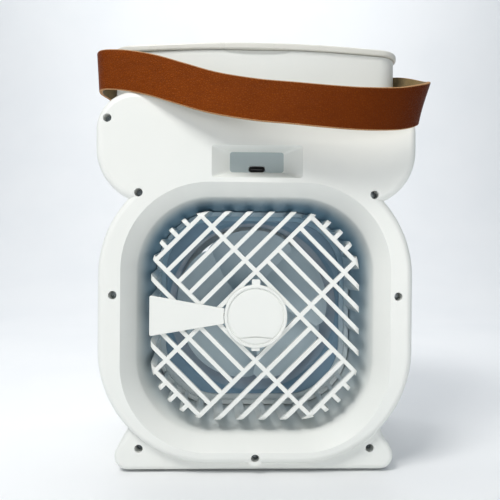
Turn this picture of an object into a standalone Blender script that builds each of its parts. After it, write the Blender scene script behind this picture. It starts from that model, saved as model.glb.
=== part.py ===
"""Desktop misting fan with a cage inlet grille, a lidded water tank and a leather carry strap.

Metres, +Z up. The origin is the centre of the footprint on the table. The air outlet and the buttons
face -Y, the inlet grille and the power socket face +Y.
"""

import math

import bmesh
import bpy
from mathutils import Matrix, Vector

# ---------------------------------------------------------------- driving dimensions (metres)
WALL = 0.0024
GAP = 0.0003
EDGE_R = 0.0042  # rounded edge between the rear cover's plane and its sides
FRONT_EDGE_R = 0.0065

REAR_Y = 0.061
FRONT_Y = -0.061
SEAM_Y = 0.046  # where the rear cover meets the main body

HEAD_HALF = 0.0876
HEAD_TOP = 0.209
HEAD_BOTTOM = 0.148
HEAD_TOP_R = 0.021
HEAD_LOW_R = 0.030
BODY_HALF = 0.0863
BODY_TOP = 0.171
BODY_BOTTOM = 0.0063
BODY_R = 0.062

BASE_HALF = 0.0777
BASE_WAIST_HALF = 0.0700
BASE_WAIST_Z = 0.029
BASE_BULGE_Z = 0.0125
BASE_BOTTOM = 0.0012
BASE_CORNER_R = 0.0075
BASE_REAR_Y = 0.0555
BASE_FRONT_Y = -0.0565

PLATE_HALF = (0.0660, 0.0450)  # bottom cover
PLATE_R = 0.010
PLATE_Y = -0.0035
PLATE_THICK = 0.0032

FAN_Z = 0.0865  # height of the fan's axis
RECESS_HALF = 0.0736
RECESS_R = 0.049
LIP_HALF = 0.0667
LIP_R = 0.0422
LIP_DEPTH = 0.009
BOWL_FLOOR_Y = 0.008
BOWL_FLOOR_HALF = 0.0608
BOWL_FLOOR_R = 0.038
BOWL_WALL = 0.0022
INLET_HALF = 0.055  # opening in the bowl's floor
INLET_R = 0.033
OVERCUT = 0.01  # how far a cutter runs past what it cuts

CAGE_FACE_Y = 0.053
CAGE_HALF = 0.0585
CAGE_R = 0.0354
CAGE_BASE_HALF = 0.0603
CAGE_BASE_Y = BOWL_FLOOR_Y + GAP
CAGE_BASE_HEIGHT = 0.004
BAR = 0.0023  # width and depth of the grille bars
BAR_PITCH = 0.0087
HUB_TANGENT = 0.0176  # distance of the four long bars from the fan's axis
BARS_PER_SIDE = 5
GAPS_REACH = 0.080  # past the corners of either grille

HUB_R = 0.0175
HUB_PROUD = 0.0032
HUB_TAB_HALF = 0.0023
HUB_TAB_TOP = 0.0205  # from the fan's axis
HUB_TAB_LOW = 0.0190
ROUNDING = 0.0006  # small edge breaks
ARM_END_HALF = 0.0112
ARM_NECK_HALF = 0.0042
ARM_PROUD = 0.0012

MOTOR_R = 0.0125
MOTOR_BACK_Y = CAGE_FACE_Y - BAR - GAP
MOTOR_LENGTH = 0.028
SHAFT_R = 0.0012
IMPELLER_R = 0.0505
IMPELLER_HUB_R = 0.0145
IMPELLER_FRONT_Y = -0.0175
IMPELLER_BACK_Y = 0.0015
BLADES = 5
DUCT_R = 0.0535
DUCT_WALL = 0.0018

OUTLET_R = 0.0585
OUTLET_RIM_R = 0.0640
OUTLET_RIM_DEPTH = 0.005
FRONT_GRILLE_R = OUTLET_R - GAP
FRONT_GRILLE_Y = -0.0555
FRONT_GRILLE_DEPTH = 0.0035
FRONT_GRILLE_BAND = 0.0025

TANK_HALF = 0.0825
TANK_REAR_Y = 0.0495
TANK_FRONT_Y = -0.048
TANK_BOW = 0.008  # how far the tank's back bows out in the middle
TANK_CORNER_R = 0.014
TANK_WALL = 0.0022
TANK_FLOOR_Z = 0.1800
TANK_RIM_Z = 0.2358
LID_OVERHANG = 0.0016
LID_TOP_Z = 0.2402
SCOOP_HALF = 0.0185
SCOOP_HEIGHT = 0.0032
SCOOP_DEPTH = 0.0011

USB_Z = 0.1714
USB_MOUTH = (0.0248, 0.0088)  # half width and half height at the surface
USB_FLOOR = (0.0150, 0.0056)
USB_FLOOR_Z = 0.1722
USB_DEPTH = 0.009
USB_SLOT = (0.0047, 0.00175)
USB_SLOT_Z = 0.1683

SCREW_R = 0.0023
SCREW_HEAD_R = 0.0020
SCREW_SINK = 0.0065
BOSS_R = 0.0044
SCREW_PLACES = (
    (0.0812, 0.1940),
    (-0.0812, 0.1940),
    (0.0642, 0.1540),
    (-0.0642, 0.1540),
    (0.0778, 0.0984),
    (-0.0778, 0.0984),
    (0.0640, 0.0135),
    (-0.0640, 0.0135),
    (0.0, 0.0098),
)

STRAP_WIDTH = 0.0215
STRAP_THICK = 0.0018
STRAP_X = 0.0850  # middle of the strap at the studs
WASHER_R = 0.0046
STUD_Y = 0.008
STUD_Z = 0.222
STUD_R = 0.0021
STUD_HEAD_R = 0.0050

NOZZLE_Z = 0.1900
MIST_BAR_HALF = (0.0560, 0.0072)
MIST_BAR_R = 0.0071
MIST_BAR_DEPTH = 0.0085
WICK_PORT_R = 0.0035
NOZZLE_PITCH = 0.022
NOZZLES = 5
PANEL_Z = 0.1640
PANEL_HALF = (0.040, 0.0078)
BUTTONS = ("power", "wind", "mist", "light")
BUTTON_PITCH = 0.0185
BUTTON_R = 0.0050
BUTTON_PROUD = 0.0014

FOOT_R = 0.0062
FOOT_HEIGHT = 0.0020
FOOT_X = 0.055
FOOT_Y = 0.036

# ---------------------------------------------------------------- colours
WHITE = (0.80, 0.82, 0.82)
IVORY = (0.82, 0.81, 0.77)
BLADE_GREY = (0.55, 0.63, 0.67)
LEATHER = (0.22, 0.075, 0.025)
RUBBER = (0.06, 0.06, 0.065)
STEEL = (0.62, 0.62, 0.63)
BRASS = (0.60, 0.45, 0.20)
BOARD_GREEN = (0.05, 0.22, 0.12)
COTTON = (0.85, 0.84, 0.80)
LIGHT_GREY = (0.60, 0.62, 0.63)
SILICONE = (0.78, 0.80, 0.80)


# ---------------------------------------------------------------- small tools
def material(name, colour, roughness, metallic=0.0):
    """A Principled BSDF material, made once for each name."""
    made = bpy.data.materials.get(name)
    if made:
        return made
    made = bpy.data.materials.new(name)
    made.use_nodes = True
    shader = made.node_tree.nodes["Principled BSDF"]
    shader.inputs["Base Color"].default_value = (*colour, 1.0)
    shader.inputs["Roughness"].default_value = roughness
    shader.inputs["Metallic"].default_value = metallic
    return made


def solid(name, bm, finish=None, place=(0.0, 0.0, 0.0), parent=None, smooth=None):
    """Put a bmesh into a named object; `smooth` is the largest angle in degrees shaded smooth."""
    bmesh.ops.recalc_face_normals(bm, faces=bm.faces)
    mesh = bpy.data.meshes.new(name)
    bm.to_mesh(mesh)
    bm.free()
    if smooth:
        mesh.shade_smooth()
        mesh.set_sharp_from_angle(angle=math.radians(smooth))
    made = bpy.data.objects.new(name, mesh)
    made.location = place
    bpy.context.scene.collection.objects.link(made)
    if finish:
        made.data.materials.append(finish)
    if parent:
        made.parent = parent
    return made


def tool(name, bm):
    """A hidden object that a Boolean modifier cuts or joins with."""
    made = solid(name, bm)
    made.hide_render = True
    made.display_type = "WIRE"
    return made


def shape_with(target, other, operation):
    step = target.modifiers.new(operation.lower() + "_" + other.name, "BOOLEAN")
    step.operation = operation
    step.solver = "EXACT"
    step.object = other


def cut(target, name, bm):
    shape_with(target, tool("cut_" + name, bm), "DIFFERENCE")


def join(target, name, bm):
    shape_with(target, tool("join_" + name, bm), "UNION")


def pivot(name, place):
    """An empty on a joint's axis that carries the pieces that move with it."""
    made = bpy.data.objects.new(name, None)
    made.location = place
    made.empty_display_size = 0.01
    bpy.context.scene.collection.objects.link(made)
    return made


def arc(centre, radius, start, end, steps):
    """Points on an arc, from one angle in degrees to another, both ends included."""
    turns = [math.radians(start + (end - start) * i / steps) for i in range(steps + 1)]
    return [(centre[0] + radius * math.cos(a), centre[1] + radius * math.sin(a)) for a in turns]


def circle(centre, radius, steps):
    return arc(centre, radius, 0, 360 * (steps - 1) / steps, steps - 1)


def mirrored(right_half):
    """Close an outline whose right half runs from top to bottom."""
    return right_half + [(-x, z) for x, z in reversed(right_half)]


def rounded_rect(half_w, half_h, radius, centre=(0.0, 0.0), steps=5):
    """A rounded rectangle as a closed list of points."""
    cx, cz = centre
    corners = ((1, 1, 0), (-1, 1, 90), (-1, -1, 180), (1, -1, 270))
    points = []
    for sx, sz, start in corners:
        middle = (cx + sx * (half_w - radius), cz + sz * (half_h - radius))
        points += arc(middle, radius, start, start + 90, steps)
    return points


def rounded_square(half, radius, steps=7):
    return rounded_rect(half, half, radius, (0.0, FAN_Z), steps)


def in_y(outline, y):
    """Lay an (x, z) outline in the plane at y."""
    return [(x, y, z) for x, z in outline]


def in_z(outline, z):
    """Lay an (x, y) outline in the plane at z."""
    return [(x, y, z) for x, y in outline]


def loft(rings, bm=None, closed=False):
    """Skin rings with the same number of points; the ends are capped unless the stack is closed."""
    bm = bm or bmesh.new()
    loops = [[bm.verts.new(p) for p in ring] for ring in rings]
    pairs = list(zip(loops, loops[1:]))
    if closed:
        pairs.append((loops[-1], loops[0]))
    for low, high in pairs:
        count = len(low)
        for i in range(count):
            j = (i + 1) % count
            bm.faces.new((low[i], low[j], high[j], high[i]))
    if not closed:
        bm.faces.new(list(reversed(loops[0])))
        bm.faces.new(loops[-1])
    return bm


def plate_y(outline, y0, y1, bm=None):
    """A straight solid of an (x, z) outline between two y."""
    return loft([in_y(outline, y0), in_y(outline, y1)], bm)


def plate_z(outline, z0, z1, bm=None):
    return loft([in_z(outline, z0), in_z(outline, z1)], bm)


def turned(profile, steps, centre=(0.0, 0.0), bm=None, closed=False):
    """Turn a profile of (radius, y) about an axis along Y through `centre` (x, z)."""
    rings = [in_y(circle(centre, radius, steps), y) for radius, y in profile]
    return loft(rings, bm, closed)


def block(low, high, bm=None):
    """A plain box between two corners."""
    x0, y0, z0 = low
    x1, y1, z1 = high
    return plate_z([(x0, y0), (x1, y0), (x1, y1), (x0, y1)], z0, z1, bm)


# ---------------------------------------------------------------- casing
def circle_crossing(a, ra, b, rb):
    """The crossing of two circles that lies furthest out in x."""
    gap = Vector(b) - Vector(a)
    along = (ra * ra - rb * rb + gap.length_squared) / (2 * gap.length)
    across = math.sqrt(ra * ra - along * along)
    foot = Vector(a) + gap.normalized() * along
    side = Vector((-gap.y, gap.x)).normalized() * across
    return max(foot + side, foot - side, key=lambda p: p.x)


def angle_from(centre, point):
    return math.degrees(math.atan2(point[1] - centre[1], point[0] - centre[0]))


def shell_outline(inset=0.0):
    """Head over body: two rounded blocks that meet in a crease at the neck."""
    top = (HEAD_HALF - HEAD_TOP_R, HEAD_TOP - HEAD_TOP_R)
    low = (HEAD_HALF - HEAD_LOW_R, HEAD_BOTTOM + HEAD_LOW_R)
    upper = (BODY_HALF - BODY_R, BODY_TOP - BODY_R)
    lower = (BODY_HALF - BODY_R, BODY_BOTTOM + BODY_R)
    neck = circle_crossing(low, HEAD_LOW_R - inset, upper, BODY_R - inset)
    half = arc(top, HEAD_TOP_R - inset, 90, 0, 7)
    half += arc(low, HEAD_LOW_R - inset, 0, angle_from(low, neck), 7)
    half += arc(upper, BODY_R - inset, angle_from(upper, neck), 0, 7)[1:]
    half += arc(lower, BODY_R - inset, 0, -90, 12)
    return mirrored(half)


def base_outline(inset=0.0):
    """The foot: a waist that flares to a rounded bulge over a flat bottom."""
    corner = (BASE_HALF - BASE_CORNER_R, BASE_BOTTOM + BASE_CORNER_R)
    flare_r = 0.020
    flare = (BASE_WAIST_HALF + flare_r, BASE_WAIST_Z)
    half = [(BASE_WAIST_HALF - inset, BASE_WAIST_Z + 0.012)]
    half += arc(flare, flare_r + inset, 180, 225, 4)
    half += [(BASE_HALF - inset, BASE_BULGE_Z)]
    half += arc(corner, BASE_CORNER_R - inset, 0, -90, 5)
    return mirrored(half)


def rounded_end(outline, y_open, y_end, radius, steps=3):
    """Rings of an outline whose far end is rounded over by `radius`."""
    way = math.copysign(1, y_end - y_open)
    rings = [in_y(outline(), y_open)]
    for i in range(steps + 1):
        turn = math.radians(90 * i / steps)
        inset = radius * (1 - math.cos(turn))
        rings.append(in_y(outline(inset), y_end - way * radius * (1 - math.sin(turn))))
    return rings


def shell_half(name, y_open, y_end, base_end, radius, finish):
    """One casing moulding, hollow and open at y_open."""
    way = math.copysign(1, y_end - y_open)
    shell = solid(name, loft(rounded_end(shell_outline, y_open, y_end, radius)), finish, smooth=32)
    join(shell, name + "_base", loft(rounded_end(base_outline, y_open, base_end, radius * 0.8)))
    inside = [
        in_y(shell_outline(WALL), y_open - way * WALL),
        in_y(shell_outline(WALL), y_end - way * max(WALL, radius)),
        in_y(shell_outline(max(WALL, radius)), y_end - way * WALL),
    ]
    cut(shell, name + "_hollow", loft(inside))
    base_inside = plate_y(base_outline(WALL), y_open - way * WALL, base_end - way * radius)
    cut(shell, name + "_base_hollow", base_inside)
    return shell


def tank_plan(outset=0.0, steps=5):
    """Plan of the tank as (x, y): straight front and sides, a gently bowed back."""
    half = TANK_HALF + outset
    front = TANK_FRONT_Y - outset
    rear = TANK_REAR_Y + outset
    radius = TANK_CORNER_R + outset
    side_y = rear - TANK_BOW - radius
    back = []
    for i in range(1, 8):
        x = (half - radius) * (1 - i / 4)
        back.append((x, rear - TANK_BOW * (x / (half - radius)) ** 2))
    points = arc((half - radius, side_y), radius, 0, 80, steps) + back
    points += arc((-half + radius, side_y), radius, 100, 180, steps)
    points += arc((-half + radius, front + radius), radius, 180, 270, steps)
    points += arc((half - radius, front + radius), radius, 270, 360, steps)
    return points


def bowl_rings(outset, back, floor):
    """The air inlet: a chamfer down to a lip, then a wall that narrows to the cage's seat."""
    lip_y = REAR_Y - LIP_DEPTH
    slope = (RECESS_HALF - LIP_HALF) / LIP_DEPTH
    mouth = LIP_HALF + slope * (back - lip_y)
    rings = [in_y(rounded_square(mouth + outset, RECESS_R + outset), back)]
    rings.append(in_y(rounded_square(LIP_HALF + outset, LIP_R + outset), lip_y))
    for share in (0.25, 0.6, 1.0):
        y = lip_y + (floor - lip_y) * share
        ease = math.sin(math.radians(90 * share))
        half = LIP_HALF + (BOWL_FLOOR_HALF - LIP_HALF) * ease
        radius = LIP_R + (BOWL_FLOOR_R - LIP_R) * ease
        rings.append(in_y(rounded_square(half + outset, radius + outset), y))
    return rings


def usb_rings(outset, back, floor):
    """The socket's pocket: a rectangle that tapers inwards."""
    mouth = rounded_rect(USB_MOUTH[0] + outset, USB_MOUTH[1] + outset, 0.0016, (0, USB_Z), 2)
    end = rounded_rect(USB_FLOOR[0] + outset, USB_FLOOR[1] + outset, 0.0014, (0, USB_FLOOR_Z), 2)
    return [in_y(mouth, back), in_y(mouth, REAR_Y), in_y(end, floor)]


def build_rear_shell(white):
    shell = shell_half("rear_shell", SEAM_Y, REAR_Y, BASE_REAR_Y, EDGE_R, white)
    bosses = bmesh.new()
    holes = bmesh.new()
    for x, z in SCREW_PLACES:
        back = REAR_Y if z > BODY_BOTTOM + 0.012 or x == 0 else BASE_REAR_Y
        floor = back - SCREW_SINK
        turned([(BOSS_R, floor - 0.002), (BOSS_R, back - 0.001)], 10, (x, z), bosses)
        turned([(0.0013, floor - 0.006), (0.0013, floor), (SCREW_R, floor), (SCREW_R, back + 0.002)],
               12, (x, z), holes)
    join(shell, "screw_bosses", bosses)
    join(shell, "bowl", loft(bowl_rings(BOWL_WALL, REAR_Y - WALL * 0.5, BOWL_FLOOR_Y - BOWL_WALL)))
    join(shell, "usb_pocket", loft(usb_rings(0.0018, REAR_Y - WALL * 0.5, REAR_Y - USB_DEPTH - 0.0018)))
    cut(shell, "inlet", loft(bowl_rings(0.0, REAR_Y + 0.002, BOWL_FLOOR_Y)))
    inlet_floor = plate_y(rounded_square(INLET_HALF, INLET_R), BOWL_FLOOR_Y - OVERCUT, BOWL_FLOOR_Y + OVERCUT)
    cut(shell, "inlet_floor", inlet_floor)
    cut(shell, "usb_pocket", loft(usb_rings(0.0, REAR_Y + 0.002, REAR_Y - USB_DEPTH)))
    slot = rounded_rect(*USB_SLOT, USB_SLOT[1] * 0.95, (0, USB_SLOT_Z), 4)
    cut(shell, "usb_slot", plate_y(slot, REAR_Y - USB_DEPTH - 0.006, REAR_Y - USB_DEPTH + 0.002))
    cut(shell, "screw_holes", holes)
    cut(shell, "tank_well", plate_z(tank_plan(GAP), TANK_FLOOR_Z - OVERCUT, HEAD_TOP + OVERCUT))
    return shell


def build_front_shell(white):
    shell = shell_half("front_shell", SEAM_Y - GAP, FRONT_Y, BASE_FRONT_Y, FRONT_EDGE_R, white)
    rim = [(OUTLET_R, FRONT_Y + 0.02), (OUTLET_R, FRONT_Y + OUTLET_RIM_DEPTH),
           (OUTLET_RIM_R, FRONT_Y), (OUTLET_RIM_R, FRONT_Y - 0.004)]
    seat_r = OUTLET_RIM_R + 0.003
    seat = [(seat_r, FRONT_Y + OUTLET_RIM_DEPTH + 0.006), (seat_r, FRONT_Y + 0.001)]
    join(shell, "outlet_rim", turned(seat, 40, (0, FAN_Z)))
    cut(shell, "outlet", turned(rim, 40, (0, FAN_Z)))
    panel = rounded_rect(PANEL_HALF[0] + GAP, PANEL_HALF[1] + GAP, PANEL_HALF[1], (0, PANEL_Z), 6)
    cut(shell, "panel_seat", plate_y(panel, FRONT_Y - 0.004, FRONT_Y + 0.006))
    bar = rounded_rect(MIST_BAR_HALF[0] + GAP, MIST_BAR_HALF[1] + GAP, MIST_BAR_R, (0, NOZZLE_Z), 6)
    cut(shell, "mist_bar_seat", plate_y(bar, FRONT_Y - 0.004, FRONT_Y + 0.006))
    cut(shell, "tank_well", plate_z(tank_plan(GAP), TANK_FLOOR_Z - OVERCUT, HEAD_TOP + OVERCUT))
    under = rounded_rect(*PLATE_HALF, PLATE_R, (0, PLATE_Y), 4)
    cut(shell, "underside", plate_z(under, -0.004, BASE_BOTTOM + 0.008))
    return shell


def build_base(white, rubber):
    plan = rounded_rect(PLATE_HALF[0] - GAP, PLATE_HALF[1] - GAP, PLATE_R - GAP, (0, PLATE_Y), 4)
    plate = solid("base_plate", plate_z(plan, BASE_BOTTOM, BASE_BOTTOM + PLATE_THICK), white)
    pockets = bmesh.new()
    index = 0
    for x in (-FOOT_X, FOOT_X):
        for y in (PLATE_Y - FOOT_Y, PLATE_Y + FOOT_Y):
            index += 1
            ring = [(x + px, y + py) for px, py in circle((0, 0), FOOT_R + GAP, 16)]
            plate_z(ring, -0.004, FOOT_HEIGHT + GAP, pockets)
            pad = [in_z(circle((0, 0), r, 16), z)
                   for r, z in ((FOOT_R - ROUNDING, 0.0), (FOOT_R, ROUNDING), (FOOT_R, FOOT_HEIGHT))]
            solid(f"foot_{index}", loft(pad), rubber, (x, y, 0), smooth=50)
    cut(plate, "foot_pockets", pockets)


# ---------------------------------------------------------------- inlet and outlet grilles
def turned_quarter(points, quarter):
    """Turn points about the fan's axis by 45 degrees plus a number of quarter turns."""
    angle = math.radians(45 + 90 * quarter)
    c, s = math.cos(angle), math.sin(angle)
    return [(v * s - u * c, FAN_Z + u * s + v * c) for u, v in points]


def grille_gaps(far, near_y, back_y, hub):
    """Prisms for every gap of the pinwheel: four blocks of parallel bars round a square hub."""
    gaps = bmesh.new()
    half = BAR / 2
    inner = HUB_TANGENT - half
    outer = HUB_TANGENT + half

    def gap(u0, u1, v0, v1, quarter):
        ring = turned_quarter([(u0, v0), (u1, v0), (u1, v1), (u0, v1)], quarter)
        plate_y(ring, near_y, back_y, gaps)

    rim = HUB_TANGENT + BARS_PER_SIDE * BAR_PITCH
    teeth = [-HUB_TANGENT] + [HUB_TANGENT - k * BAR_PITCH for k in range(3, -1, -1)]
    for quarter in range(4):
        for k in range(BARS_PER_SIDE):
            low = HUB_TANGENT + k * BAR_PITCH + half
            high = low + BAR_PITCH - BAR
            gap(-inner, inner, low, high, quarter)
            gap(outer, far, low, high, quarter)
        for left, right in zip(teeth, teeth[1:]):
            gap(left + half, right - half, rim + half, far, quarter)
        gap(outer, far, rim + half, far, quarter)
        edge = (inner * inner + (0.28 * inner) ** 2) ** 0.5
        bend = arc((0.0, 0.0), max(hub, edge * 0.98), 66, 24, 4)
        corner = [(inner, inner), (bend[0][0], inner)] + bend + [(inner, bend[-1][1])]
        plate_y(turned_quarter(corner, quarter), near_y, back_y, gaps)
    return gaps


def build_cage(white):
    """The inlet cage: a cup whose bars turn down into side fins and end on a base ring."""
    face = [in_y(rounded_square(CAGE_BASE_HALF, CAGE_R + 0.0018), CAGE_BASE_Y),
            in_y(rounded_square(CAGE_HALF, CAGE_R), CAGE_FACE_Y)]
    cage = solid("rear_grille", loft(face), white)
    room = [in_y(rounded_square(CAGE_BASE_HALF - BAR, CAGE_R - 0.0005), CAGE_BASE_Y - 0.004),
            in_y(rounded_square(CAGE_HALF - BAR, CAGE_R - BAR), CAGE_FACE_Y - BAR)]
    cut(cage, "cage_room", loft(room))
    cut(cage, "cage_gaps", grille_gaps(GAPS_REACH, CAGE_BASE_Y + CAGE_BASE_HEIGHT, CAGE_FACE_Y + 0.003,
                                       HUB_R))
    return cage


def build_hub(white):
    cap = [(HUB_R - 0.0022, CAGE_FACE_Y + GAP), (HUB_R, CAGE_FACE_Y + GAP + 0.0004),
           (HUB_R, CAGE_FACE_Y + HUB_PROUD - 0.0008), (HUB_R - 0.0008, CAGE_FACE_Y + HUB_PROUD),
           (HUB_R - 0.0016, CAGE_FACE_Y + HUB_PROUD), (HUB_R - 0.0021, CAGE_FACE_Y + HUB_PROUD - 0.0004)]
    hub = solid("motor_hub_cap", turned(cap, 36, (0, FAN_Z)), white, smooth=35)
    for name, low, high in (("top_tab", HUB_R - 0.001, HUB_TAB_TOP), ("low_tab", -HUB_TAB_LOW,
                                                                      -HUB_R + 0.001)):
        join(hub, name, block((-HUB_TAB_HALF, CAGE_FACE_Y + GAP, FAN_Z + low),
                              (HUB_TAB_HALF, CAGE_FACE_Y + HUB_PROUD - ROUNDING, FAN_Z + high)))
    root = HUB_R + 2 * GAP
    end = CAGE_HALF + GAP
    tip = ROUNDING
    arm = [(root, FAN_Z + ARM_NECK_HALF), (end - tip, FAN_Z + ARM_END_HALF),
           (end, FAN_Z + ARM_END_HALF - tip), (end, FAN_Z - ARM_END_HALF + tip),
           (end - tip, FAN_Z - ARM_END_HALF), (root, FAN_Z - ARM_NECK_HALF)]
    solid("wire_cover", plate_y(arm, CAGE_FACE_Y + GAP, CAGE_FACE_Y + GAP + ARM_PROUD), white)


def build_front_grille(white):
    deep = FRONT_GRILLE_Y + FRONT_GRILLE_DEPTH
    disc = turned([(FRONT_GRILLE_R, deep), (FRONT_GRILLE_R, FRONT_GRILLE_Y)], 48, (0, FAN_Z))
    grille = solid("front_grille", disc, white)
    inside = FRONT_GRILLE_R - FRONT_GRILLE_BAND
    ring = turned([(inside, deep + 0.002), (inside, FRONT_GRILLE_Y - 0.002)], 48, (0, FAN_Z))
    window = tool("grille_window", grille_gaps(GAPS_REACH, FRONT_GRILLE_Y - 0.001, deep + 0.001, HUB_R))
    shape_with(window, tool("grille_window_edge", ring), "INTERSECT")
    shape_with(grille, window, "DIFFERENCE")
    badge = [(HUB_R - 0.001, FRONT_GRILLE_Y - GAP), (HUB_R - 0.001, FRONT_GRILLE_Y - 0.0016),
             (HUB_R - 0.003, FRONT_GRILLE_Y - 0.0026)]
    solid("front_grille_cap", turned(badge, 36, (0, FAN_Z)), white, smooth=35)


# ---------------------------------------------------------------- fan
def build_fan(steel, blade_finish, white, copper):
    front = MOTOR_BACK_Y - MOTOR_LENGTH
    can = [(MOTOR_R - 0.001, MOTOR_BACK_Y), (MOTOR_R, MOTOR_BACK_Y - 0.001), (MOTOR_R, front + 0.001),
           (MOTOR_R - 0.001, front), (0.0045, front), (0.0045, front - 0.0015), (SHAFT_R + GAP,
                                                                                 front - 0.0015),
           (SHAFT_R + GAP, front + 0.006)]
    solid("motor_can", turned(can, 18, (0, FAN_Z)), steel, smooth=35)

    spin = pivot("fan_axis", (0.0, 0.0, FAN_Z))
    shaft = turned([(SHAFT_R, front + 0.005), (SHAFT_R, IMPELLER_FRONT_Y + 0.004)], 10)
    solid("motor_shaft", shaft, steel, parent=spin, smooth=40)

    hub = turned([(IMPELLER_HUB_R - 0.001, IMPELLER_BACK_Y), (IMPELLER_HUB_R, IMPELLER_BACK_Y - 0.001),
                  (IMPELLER_HUB_R, IMPELLER_FRONT_Y + 0.003), (IMPELLER_HUB_R - 0.003, IMPELLER_FRONT_Y)], 24)
    impeller = solid("fan_impeller", hub, blade_finish, parent=spin, smooth=35)
    blades = bmesh.new()
    for i in range(BLADES):
        blade(blades, 360 * i / BLADES)
    fins = tool("join_blades", blades)
    fins.location = spin.location
    shape_with(impeller, fins, "UNION")
    bore = turned([(SHAFT_R + GAP, IMPELLER_BACK_Y + 0.002), (SHAFT_R + GAP, IMPELLER_FRONT_Y + 0.0035)], 10)
    cutter = tool("cut_impeller_bore", bore)
    cutter.location = spin.location
    shape_with(impeller, cutter, "DIFFERENCE")

    flange_y = BOWL_FLOOR_Y - BOWL_WALL - GAP
    flange = solid("fan_shroud", plate_y(rounded_square(0.0600, 0.038), flange_y - 0.002, flange_y), white,
                   smooth=35)
    duct_end = FRONT_GRILLE_Y + FRONT_GRILLE_DEPTH + 0.0006
    tube = [(DUCT_R + DUCT_WALL, flange_y - 0.001), (DUCT_R + DUCT_WALL, duct_end)]
    join(flange, "duct", turned(tube, 36, (0, FAN_Z)))
    throat = [(DUCT_R + 0.0025, flange_y + 0.001), (DUCT_R + 0.0020, flange_y - 0.0006),
              (DUCT_R, flange_y - 0.0035), (DUCT_R, duct_end - 0.002)]
    cut(flange, "throat", turned(throat, 36, (0, FAN_Z)))

    lead = bpy.data.curves.new("motor_lead", "CURVE")
    lead.dimensions = "3D"
    lead.bevel_depth = 0.0009
    lead.bevel_resolution = 2
    lead.use_fill_caps = True
    spline = lead.splines.new("POLY")
    stations = 9
    spline.points.add(stations - 1)
    start = MOTOR_R + 0.001
    length = CAGE_HALF - 0.0052 - start
    for i in range(stations):
        share = i / (stations - 1)
        sag = 0.003 * math.sin(math.pi * share)
        spline.points[i].co = (start + share * length, 0.0470 - sag, FAN_Z, 1.0)
    made = bpy.data.objects.new("motor_lead", lead)
    made.data.materials.append(copper)
    bpy.context.scene.collection.objects.link(made)


def blade(bm, turn):
    """One wide twisted blade, as two skins a wall apart joined round their edge."""
    across, along = 5, 4
    thick = 0.0014
    depth = IMPELLER_BACK_Y - IMPELLER_FRONT_Y - 0.003
    middle = (IMPELLER_BACK_Y + IMPELLER_FRONT_Y) / 2
    skins = []
    for side in (-0.5, 0.5):
        grid = []
        for i in range(along + 1):
            share = i / along
            radius = IMPELLER_HUB_R - 0.002 + (IMPELLER_R - IMPELLER_HUB_R + 0.002) * share
            span = math.radians(30 + 5 * math.sin(math.pi * share) - 5 * share ** 4)
            row = []
            for j in range(across + 1):
                chord = 2 * j / across - 1
                round_off = 0.0045 * share ** 3 * chord ** 2
                angle = math.radians(turn + 14 * share) + chord * span
                y = middle + depth / 2 * chord * (1 - 0.25 * share) + side * thick
                r = radius - round_off
                row.append(bm.verts.new((r * math.cos(angle), y, r * math.sin(angle))))
            grid.append(row)
        skins.append(grid)
    back, front = skins
    for i in range(along):
        for j in range(across):
            bm.faces.new((back[i][j], back[i][j + 1], back[i + 1][j + 1], back[i + 1][j]))
            bm.faces.new((front[i][j], front[i + 1][j], front[i + 1][j + 1], front[i][j + 1]))
    rim = [(0, j) for j in range(across)] + [(i, across) for i in range(along)]
    rim += [(along, j) for j in range(across, 0, -1)] + [(i, 0) for i in range(along, 0, -1)]
    for (i, j), (k, m) in zip(rim, rim[1:] + rim[:1]):
        bm.faces.new((back[i][j], back[k][m], front[k][m], front[i][j]))


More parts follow.
